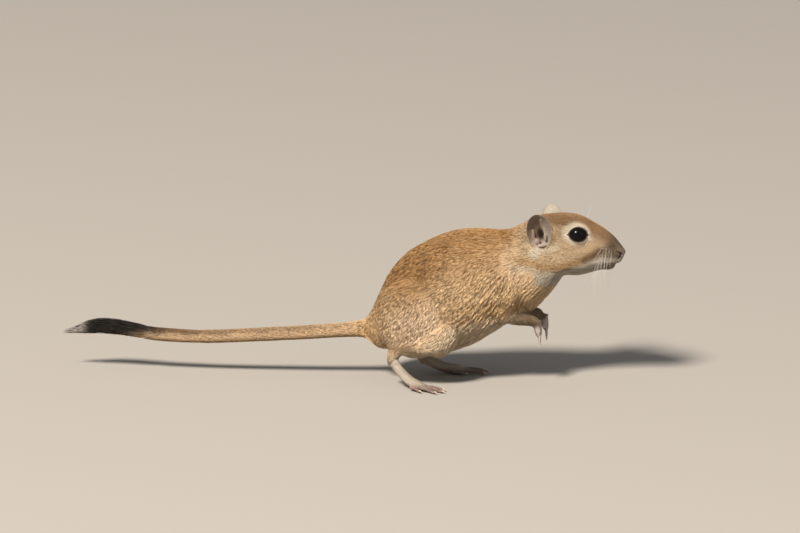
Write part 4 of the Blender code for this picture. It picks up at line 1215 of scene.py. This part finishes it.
skin_lie = spread(lie_of_coat(skin_points, skin_normals), skin_edges, 6)
skin_faces = np.empty(len(skin_mesh.polygons) * 3, dtype=np.int32)
skin_mesh.polygons.foreach_get("vertices", skin_faces)
skin_faces = skin_faces.reshape(-1, 3)
skin_tree = BVHTree.FromObject(skin, bpy.context.evaluated_depsgraph_get())


def on_skin(points):
    """The nearest places of the skin and the normals there."""
    places, ways = np.empty_like(points), np.empty_like(points)
    for i, point in enumerate(in_frame(points)):
        place, way, _, _ = skin_tree.find_nearest(point)
        places[i] = place
        ways[i] = way
    return in_body(places), ways


def unit(rows):
    return rows / np.maximum(np.linalg.norm(rows, axis=1), 1e-9)[:, None]


LID_BARE = 1.12  # how far out of the opening the first hairs stand


def tuft_density():
    """How many tufts stand on a square millimetre at each point of the skin."""
    density = skin_values[:, DENSITY].copy()
    places = both_sides(skin_points)
    on_face = is_kind(skin_kinds, "head")
    density *= np.where(on_face, 1 + 0.5 * rise(places[:, 0], 24.0, 34.0), 1.0)
    for side in SIDES:
        out, dark, _ = eye_ring(skin_points, side)
        density[on_face & ((out < LID_BARE) | (dark > 0.3))] = 0.0
    bare = near_line(places, NOSTRIL) < 0.5
    bare |= near_line(places, MOUTH) < 0.22
    bare |= (near_line(places, PHILTRUM) < 0.25) | (near_line(places, PHILTRUM[:2]) < 0.6)
    density[on_face & bare] = 0.0
    density[is_kind(skin_kinds, "hind_foot") & (skin_normals[:, 2] < -0.4)] = 0.0
    return density


def tuft_roots():
    """Roots spread over the skin: the face that each stands on and its place in it."""
    corners = skin_points[skin_faces]
    cross = np.cross(corners[:, 1] - corners[:, 0], corners[:, 2] - corners[:, 0])
    area = np.linalg.norm(cross, axis=1) / 2
    wanted = area * tuft_density()[skin_faces].min(axis=1)
    total = int(wanted.sum())
    picks = (np.arange(total) + dice.uniform(0, 1, total)) / total
    faces = np.searchsorted(np.cumsum(wanted) / wanted.sum(), picks)
    faces = np.minimum(faces, len(wanted) - 1)
    first, second = dice.uniform(0, 1, total), dice.uniform(0, 1, total)
    flip = first + second > 1
    first[flip], second[flip] = 1 - first[flip], 1 - second[flip]
    return faces, np.stack((1 - first - second, first, second), axis=1)


def at_roots(values, faces, shares):
    """Values at the skin's points, read at the roots."""
    return np.einsum("nk,nkc->nc", shares, values[skin_faces[faces]])


PATCH = 0.003  # how wide a tuft is on the unwrapped skin
STRANDS = (2.4, 0.7, 60.0)  # how finely a tuft is parted across and along, and how tufts differ


def tuft_mesh(name, spines, half_widths, across, colours, patches):
    """Tufts as closed, three-sided, pointed forms. spines is tuft by station by place, and the
    last station is the tip. patches is each root's place on the unwrapped skin."""
    count, stations = spines.shape[:2]
    upward = unit(np.cross(spines[:, -1] - spines[:, 0], across))
    rings = []
    for k in range(stations - 1):
        half = half_widths[:, k, None]
        middle = spines[:, k]
        rings.append(np.stack(
            (middle - across * half, middle + across * half, middle + upward * half * 0.75), axis=1
        ))
    points = np.concatenate([*rings, spines[:, -1:]], axis=1)
    points[..., 2] = np.maximum(points[..., 2], 0.03)
    per_tuft = points.shape[1]
    faces = [(0, 2, 1)]
    for k in range(stations - 2):
        for i in range(3):
            a, b = 3 * k + i, 3 * k + (i + 1) % 3
            faces += [(a, b, b + 3), (a, b + 3, a + 3)]
    last = 3 * (stations - 2)
    faces += [(last + i, last + (i + 1) % 3, per_tuft - 1) for i in range(3)]
    faces = np.array(faces)
    starts = np.arange(count)[:, None, None] * per_tuft
    corners = (faces[None] + starts).reshape(-1)
    mesh = bpy.data.meshes.new(name)
    mesh.vertices.add(count * per_tuft)
    mesh.vertices.foreach_set("co", in_frame(points.reshape(-1, 3)).astype(np.float32).ravel())
    mesh.loops.add(len(corners))
    mesh.loops.foreach_set("vertex_index", corners.astype(np.int32))
    mesh.polygons.add(count * len(faces))
    mesh.polygons.foreach_set("loop_start", np.arange(0, len(corners), 3, dtype=np.int32))
    mesh.update(calc_edges=True)
    mesh.shade_smooth()
    station = np.array([k for k in range(stations - 1) for _ in range(3)] + [stations - 1])
    add_colours(mesh, "coat", colours[:, station].reshape(-1, 3))
    side = np.array([-1.0, 1.0, 0.0] * (stations - 1) + [0.0])
    top = np.array([0.0, 0.0, 1.0] * (stations - 1) + [0.0])
    strand = np.zeros((count, per_tuft, 3))
    strand[..., 0] = side * STRANDS[0]
    strand[..., 1] = station / (stations - 1) * STRANDS[1]
    strand[..., 2] = np.random.default_rng(count).uniform(0, STRANDS[2], count)[:, None]
    layer = mesh.attributes.new("strand", "FLOAT_VECTOR", "POINT")
    layer.data.foreach_set("vector", strand.astype(np.float32).ravel())
    ahead = station / (stations - 1) + 0.12 * top
    patch = np.stack((side * PATCH / 2, ahead * PATCH), axis=1)
    unwrapped = patches[:, None] + patch[None]
    layer = mesh.uv_layers.new(name="OFBake")
    layer.uv.foreach_set("vector", unwrapped.reshape(-1, 2)[corners].astype(np.float32).ravel())
    return mesh


def unwrapped(points, kinds):
    """Each root's place on the skin, unrolled along and round the part of the body it is on.
    Parts of one piece lie side by side."""
    places = np.zeros((len(points), 2))
    groups = np.unique(kinds)
    for band, group in enumerate(groups):
        chosen = kinds == group
        local = points[chosen] - points[chosen].mean(axis=0)
        axes = np.linalg.svd(local[:: max(1, len(local) // 4000)], full_matrices=False)[2]
        along = local @ axes[0]
        round_it = np.arctan2(local @ axes[1], local @ axes[2])
        along = (along - along.min()) / max(np.ptp(along), 1e-6)
        round_it = (round_it + math.pi) / (2 * math.pi)
        margin = 2 * PATCH
        places[chosen, 0] = margin + along * (1 - 2 * margin)
        height = 1 / len(groups)
        places[chosen, 1] = band * height + margin + round_it * (height - 2 * margin)
    return places


root_faces, root_shares = tuft_roots()
roots = at_roots(skin_points, root_faces, root_shares)
root_normals = unit(at_roots(skin_normals, root_faces, root_shares))
root_values = at_roots(skin_values, root_faces, root_shares)
root_kinds = skin_kinds[skin_faces[root_faces, 0]]
root_colours = at_roots(skin_colours, root_faces, root_shares)
root_lie = at_roots(skin_lie, root_faces, root_shares)
tufts = len(roots)

swing = 0.12 * ripple(roots, 9.0, 3) + 0.06 * ripple(roots, 3.0, 4) + dice.normal(0, 0.06, tufts)
root_lie = unit(root_lie - root_normals * np.sum(root_lie * root_normals, axis=1)[:, None])
streak = streaks(roots, root_lie, 1.3, 8)
streak *= 1 - 0.7 * is_kind(root_kinds, "tail_root", "tail_middle", "tail_end")
root_across = np.cross(root_normals, root_lie)
root_lie = root_lie * np.cos(swing)[:, None] + root_across * np.sin(swing)[:, None]
head_of_roots = to_head(roots)
on_head = is_kind(root_kinds, "head")
face_share = on_head * rise(head_of_roots[:, 0], 14.0, 38.0)
nose_share = on_head * rise(head_of_roots[:, 0], 38.0, 41.5)
eye_gap = np.minimum(*(np.linalg.norm(in_eye(roots, side), axis=1) for side in SIDES))
lids = on_head * (1 - rise(eye_gap, 5.5, 9.0))
shorter = (1 - 0.55 * face_share) * (1 - 0.5 * lids) * (1 - 0.45 * nose_share)
shorter = shorter * (1 - 0.35 * (1 - rise(roots[:, 0], -3.0, 12.0)) * is_kind(root_kinds, "torso"))
length = root_values[:, LENGTH] * shorter * dice.uniform(0.72, 1.2, tufts)
half_width = root_values[:, HALF_WIDTH] * dice.uniform(0.7, 1.25, tufts)
half_width *= (1 - 0.3 * face_share) * (1 - 0.25 * nose_share)
depth = root_values[:, DEPTH] * (1 - 0.7 * face_share) * (1 - 0.4 * lids) + 0.06
depth *= 1 - 0.5 * nose_share
at_tail = TAIL_DEPTH + (depth - TAIL_DEPTH) * rise(roots[:, 0], -3.0, 13.0)
depth = np.minimum(depth, at_tail)

# Tufts in line with one another are drawn together, so that the coat parts into long streaks,
# most of all on the shoulder and lower flank, where the skin bends as the animal leans.
CLUMP_SHARE = 1 / 12  # of the tufts lead the others
LEADS_TRIED = 9
leads = np.flatnonzero(dice.uniform(0, 1, tufts) < CLUMP_SHARE)
lead_tree = KDTree(len(leads))
for index, lead in enumerate(leads):
    lead_tree.insert(roots[lead], index)
lead_tree.balance()
near = leads[[[hit[1] for hit in lead_tree.find_n(root, LEADS_TRIED)] for root in roots]]
gaps = roots[near] - roots[:, None]
along = np.einsum("nkc,nc->nk", gaps, root_lie)
aside = np.linalg.norm(gaps - along[..., None] * root_lie[:, None], axis=2)
led_by = near[np.arange(tufts), np.argmin(aside + 0.15 * np.abs(along), axis=1)]
parting = np.exp(-((roots[:, 0] - 62.0) / 15.0) ** 2) * (1 - rise(roots[:, 2], 46.0, 60.0))
tips = roots + root_lie * length[:, None]
pull = roots[led_by] - roots
pull -= root_lie * np.sum(pull * root_lie, axis=1)[:, None]
pull -= root_normals * np.sum(pull * root_normals, axis=1)[:, None]
tips = tips + pull * (dice.uniform(0.0, 0.2, tufts) + 0.3 * parting)[:, None]
mids = (roots + tips) / 2
tip_places, tip_normals = on_skin(tips)
mid_places, mid_normals = on_skin(mids)
lift = 1 + (0.045 + 0.12 * parting) * streak
tip_height = depth * lift * dice.uniform(0.86, 1.0, tufts)
mid_height = depth * lift * dice.uniform(0.79, 0.88, tufts)
spines = np.stack(
    (
        roots - root_normals * (0.08 + 0.1 * depth)[:, None],
        mid_places + mid_normals * mid_height[:, None],
        tip_places + tip_normals * tip_height[:, None],
    ),
    axis=1,
)
half_widths = half_width[:, None] * np.array((0.8, 1.0, 0.0))
across = unit(np.cross(root_normals, spines[:, 2] - spines[:, 0]))

sandy = np.clip((root_colours[:, 0] - root_colours[:, 2] * 1.6) * 5, 0, 1)
clump_tone = dice.normal(0, 1, tufts)[led_by]
# Tone differs at random by tuft and clump. It also follows the streaks' relief, so sunken tufts are
# painted darker, a painted shade in the grooves, most at the shoulder and lower flank.
tone = 0.03 * dice.normal(0, 1, tufts) + 0.03 * clump_tone
tone = np.exp(tone + (0.05 + 0.05 * parting) * streak + 0.03 * ripple(roots, 7.0, 6))
tuft_colour = root_colours * tone[:, None]
pick = dice.uniform(0, 1, tufts)
tuft_colour = blended(tuft_colour, PALE_HAIR, np.where(pick < 0.2, 0.22, 0.0) * sandy)
tuft_colour = blended(tuft_colour, DARK_HAIR_AND_FOLD_SHADE, np.where(pick > 0.92, 0.16, 0.0) * sandy)
tuft_colour[is_kind(root_kinds, "ear")] *= 1.15
# Each tuft darkens towards its root: painted shade deep in the coat, together with the greyer
# underfur.
station_shade = np.array((0.9, 0.99, 1.05))
tuft_colours = tuft_colour[:, None] * station_shade[None, :, None]

hair = coat_material("coat hair", 0.14, 0.68, 0.3)
PIECES = {
    "coat_head": ("head",),
    "coat_neck": ("neck", "upper_arm"),
    "coat_trunk": ("torso",),
    "coat_thighs": ("thigh",),
    "coat_limbs": ("forearm", "lower_leg"),
    "coat_tail": ("tail_root", "tail_middle", "tail_end", "tail_tuft"),
    "coat_feet": ("forepaw", "hind_foot"),
    "coat_ears": ("ear",),
}
STRAIGHT = ("coat_feet", "coat_ears")  # hairs so short that they don't bend
MOST_TRIANGLES = 198000


def add_coat(name, chosen, stations):
    """One piece of the coat, from the chosen tufts and the stations that they keep."""
    mesh = tuft_mesh(
        name,
        spines[chosen][:, stations],
        half_widths[chosen][:, -len(stations):],
        across[chosen],
        tuft_colours[chosen][:, stations],
        unwrapped(roots[chosen], root_kinds[chosen]),
    )
    mesh.materials.append(hair)
    piece = linked(name, mesh)
    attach(piece, "root")


for name, kinds in PIECES.items():
    chosen = np.flatnonzero(is_kind(root_kinds, *kinds))
    stations = [0, 2] if name in STRAIGHT else [0, 1, 2]
    triangles = 6 * len(stations) - 8
    parts = math.ceil(len(chosen) * triangles / MOST_TRIANGLES)
    chosen = chosen[np.argsort(roots[chosen, 1 if name in ("coat_head", "coat_trunk") else 0])]
    for part, some in enumerate(np.array_split(chosen, parts)):
        add_coat(f"{name}_{part + 1}", some, stations)


# Whiskers
# Stiff, pale, tapered hairs in five rows on the pads beside the nose, the back ones longest, with
# a few over each eye and on the cheek. They fan out and hang by their own weight.

WHISKER_STATIONS = np.linspace(0.0, 1.0, 8)
WHISKER_RADIUS = 0.065
SHORTEST_WHISKER = 4.5
WHISKER_GAIN = 2.4  # how much longer each is than the one in front of it
WHISKER_PALE = (0.62, 0.58, 0.52)
WHISKER_ROOT = (0.16, 0.11, 0.08)
# Others on the left side: the root, the way it points, and its length.
LONE_WHISKERS = (
    ((23.0, 9.0, 13.2), (-0.1, 0.6, 0.8), 11.0),
    ((20.6, 9.4, 13.0), (-0.4, 0.6, 0.7), 9.0),
    ((14.0, 13.0, -3.0), (-0.2, 0.9, -0.3), 10.0),
    ((31.0, 4.0, -9.5), (0.1, 0.5, -0.85), 7.0),
)
EAR_BRISTLES = 14


def hanging_hair(root, way, length, sag):
    """The line of a hair that leaves its root in one way and hangs by its weight."""
    way = np.array(way) / np.linalg.norm(way)
    t = WHISKER_STATIONS[:, None]
    line = np.array(root) + way * length * t
    return line + np.array((-0.03, 0.0, -sag)) * length * t * t


def add_hairs(name, lines, radii, colours):
    """Single hairs as one joined piece."""
    lines = np.array(lines)
    count = len(lines)
    taper = (1 - WHISKER_STATIONS) ** 0.7
    widths = np.array(radii)[:, None] * taper[None]
    sideways = unit(np.cross(lines[:, -1] - lines[:, 0], (0.3, 0.2, 1.0)))
    places = np.stack((np.linspace(0.02, 0.97, count), np.full(count, 0.5)), axis=1)
    mesh = tuft_mesh(name, lines, widths, sideways, np.array(colours), places)
    mesh.materials.append(hair)
    piece = linked(name, mesh)
    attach(piece, "root")


whiskers, whisker_radii, whisker_colours = [], [], []
root_share = (1 - rise(WHISKER_STATIONS, 0.02, 0.2))[:, None]
whisker_colour = np.array(WHISKER_PALE) * (1 - root_share) + np.array(WHISKER_ROOT) * root_share
for side in SIDES:
    outward = 1 if side == "left" else -1
    wanted = []
    for place, row, number in whisker_places():
        way = (0.26 - 0.09 * number, 0.85, 0.05 - 0.24 * row)
        far = (SHORTEST_WHISKER + WHISKER_GAIN * number) * dice.uniform(0.85, 1.12)
        wanted.append((place, way, far, 0.42 + 0.06 * row))
    wanted += [(place, way, far, 0.12) for place, way, far in LONE_WHISKERS]
    for place, way, far, sag in wanted:
        nearest, _ = on_skin(np.array([from_head(mirrored(place, side))]))
        jitter = dice.normal(0, 0.07, 3)
        way = head_turn @ Vector(mirrored(np.array(way) + jitter, side))
        root = nearest[0] - np.array(way.normalized()) * 0.3
        whiskers.append(hanging_hair(root, way, far, sag))
        whisker_radii.append(WHISKER_RADIUS * min(1.0, 0.45 + far / 26.0))
        whisker_colours.append(whisker_colour)
add_hairs("whiskers", whiskers, whisker_radii, whisker_colours)

bristles = []
for side in SIDES:
    root, forward, upward, outward = ear_frame(side)
    for angle in np.linspace(math.radians(120), math.radians(235), EAR_BRISTLES):
        place = ear_point(side, 0.97, angle + dice.normal(0, 0.04), 0.2)
        way = -forward * 1.0 + upward * dice.uniform(-0.1, 0.7) + outward * dice.normal(0, 0.3)
        bristles.append(hanging_hair(place, way, dice.uniform(1.6, 3.6), 0.05))
bristle_colours = np.tile(np.array(DARK_HAIR_AND_FOLD_SHADE) * 1.6, (len(bristles), len(WHISKER_STATIONS), 1))
add_hairs("ear_bristles", bristles, [0.05] * len(bristles), bristle_colours)


# Tuft of the tail
# Longer, blackish hair in flat, tapered locks round the last third of the tail, white at the tip.
# The locks are rooted in the tail's end and overlap like thatch.

tail_line = eased(TAIL_END, 12)
tail_steps = np.concatenate(([0.0], np.cumsum([
    np.linalg.norm(b[:3] - a[:3]) for a, b in zip(tail_line, tail_line[1:])
])))
TUFT_LOCKS = 2200


def tail_place(distance):
    """Places, radii and ways along the line of the tail's end; it runs straight on past its tip."""
    rows = np.array(tail_line)
    flat = np.stack([np.interp(distance, tail_steps, rows[:, c]) for c in range(4)], axis=-1)
    past = np.maximum(distance - tail_steps[-1], 0.0)
    way = rows[-1, :3] - rows[-4, :3]
    flat[..., :3] += past[..., None] * (way / np.linalg.norm(way))
    return flat


start = dice.uniform(0.5, tail_steps[-1] - 0.5, TUFT_LOCKS)
angle = dice.uniform(0, 2 * math.pi, TUFT_LOCKS)
lock_length = dice.uniform(7.0, 12.5, TUFT_LOCKS)
stand_off = 1.7 * np.exp(-((start - 16.0) / 11.0) ** 2) * dice.uniform(0.3, 1.0, TUFT_LOCKS)
stand_off += 2.8 - 0.8 * rise(start, 3.0, 16.0)
LOCK_STATIONS = np.array((0.0, 0.3, 0.68, 1.0))
LOCK_RISE = np.array((0.0, 0.62, 1.0, 0.92))
LOCK_WIDTH = np.array((0.7, 1.0, 0.7, 0.0))
along = start[:, None] + lock_length[:, None] * LOCK_STATIONS
line = tail_place(along)
ahead = tail_place(along + 0.5)[..., :3] - line[..., :3]
ahead /= np.linalg.norm(ahead, axis=2)[..., None]
aside = np.cross(ahead, (0.0, 0.0, 1.0))
aside /= np.linalg.norm(aside, axis=2)[..., None]
above = np.cross(aside, ahead)
outward = aside * np.cos(angle)[:, None, None] + above * np.sin(angle)[:, None, None]
inside = tail_place(start)[:, 3] * 0.6
closing = np.minimum(1.0, (tail_steps[-1] + 13.0 - along) / 14.0)
off = inside[:, None] + (stand_off - inside)[:, None] * LOCK_RISE * np.maximum(closing, 0.08)
lock_spines = line[..., :3] + outward * off[..., None]
lock_across = unit(np.cross(outward[:, 1], lock_spines[:, -1] - lock_spines[:, 0]))
lock_widths = dice.uniform(0.09, 0.19, TUFT_LOCKS)[:, None] * LOCK_WIDTH
flat_places = lock_spines.reshape(-1, 3)
lock_colours = tail_colours(flat_places, outward.reshape(-1, 3)).reshape(TUFT_LOCKS, 4, 3)
lock_colours = lock_colours * np.exp(dice.normal(0, 0.15, TUFT_LOCKS))[:, None, None]
lock_patches = np.stack((0.01 + 0.98 * start / tail_steps[-1], 0.01 + 0.98 * angle / 6.2832), axis=1)
tuft_piece = linked(
    "tail_tuft_hair",
    tuft_mesh("tail_tuft_hair", lock_spines, lock_widths, lock_across, lock_colours, lock_patches),
)
tuft_piece.data.materials.append(hair)
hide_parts("tail_tuft")
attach(tuft_piece, "root")


# Setting
# A plain pale floor, a large soft light from the upper left, and a camera that looks at the
# animal's right side from a little above, as the photo does.

LOOK_AT = np.array((15.75, 0.0, 51.4))
CAMERA_LIFT = math.radians(12.0)
CAMERA_AWAY = 5.0
FOCAL_LENGTH = 500.0

floor_mesh = bpy.data.meshes.new("floor")
reach = 3.0
floor_mesh.from_pydata(
    [(-reach, -reach, -0.0002), (reach, -reach, -0.0002), (reach, reach, -0.0002),
     (-reach, reach, -0.0002)], [], [(0, 1, 2, 3)]
)
floor = linked("floor", floor_mesh)
floor_paint = bpy.data.materials.new("floor paint")
tree, shader = nodes_of(floor_paint)
shader.inputs["Base Color"].default_value = (0.30, 0.275, 0.245, 1.0)
shader.inputs["Roughness"].default_value = 0.9
floor_mesh.materials.append(floor_paint)

world = bpy.data.worlds.new("room")
world.use_nodes = True
world.node_tree.nodes["Background"].inputs["Color"].default_value = (0.88, 0.90, 0.94, 1.0)
world.node_tree.nodes["Background"].inputs["Strength"].default_value = 0.34
bpy.context.scene.world = world
bpy.context.scene.view_settings.view_transform = "Standard"


def add_lamp(name, place, size, power, colour):
    """A round soft light that faces the animal."""
    lamp = bpy.data.lights.new(name, "AREA")
    lamp.shape = "DISK"
    lamp.size = size
    lamp.energy = power
    lamp.color = colour
    holder = bpy.data.objects.new(name, lamp)
    bpy.context.scene.collection.objects.link(holder)
    holder.location = place
    target = Vector((0.02, 0.0, 0.04))
    holder.rotation_euler = (target - Vector(place)).to_track_quat("-Z", "Y").to_euler()


add_lamp("key", (-2.0, -3.1, 3.9), 1.2, 700.0, (1.0, 0.93, 0.84))
add_lamp("fill", (1.3, -0.9, 0.7), 0.9, 2.5, (0.92, 0.96, 1.0))

camera_data = bpy.data.cameras.new("camera")
camera_data.lens = FOCAL_LENGTH
camera_data.sensor_width = 36.0
camera_data.clip_end = 100.0
camera = bpy.data.objects.new("camera", camera_data)
bpy.context.scene.collection.objects.link(camera)
look_at = Vector(in_frame(LOOK_AT))
back_off = Vector((0.0, -math.cos(CAMERA_LIFT), math.sin(CAMERA_LIFT))) * CAMERA_AWAY
camera.location = look_at + back_off
camera.rotation_euler = (-back_off).to_track_quat("-Z", "Y").to_euler()
bpy.context.scene.camera = camera
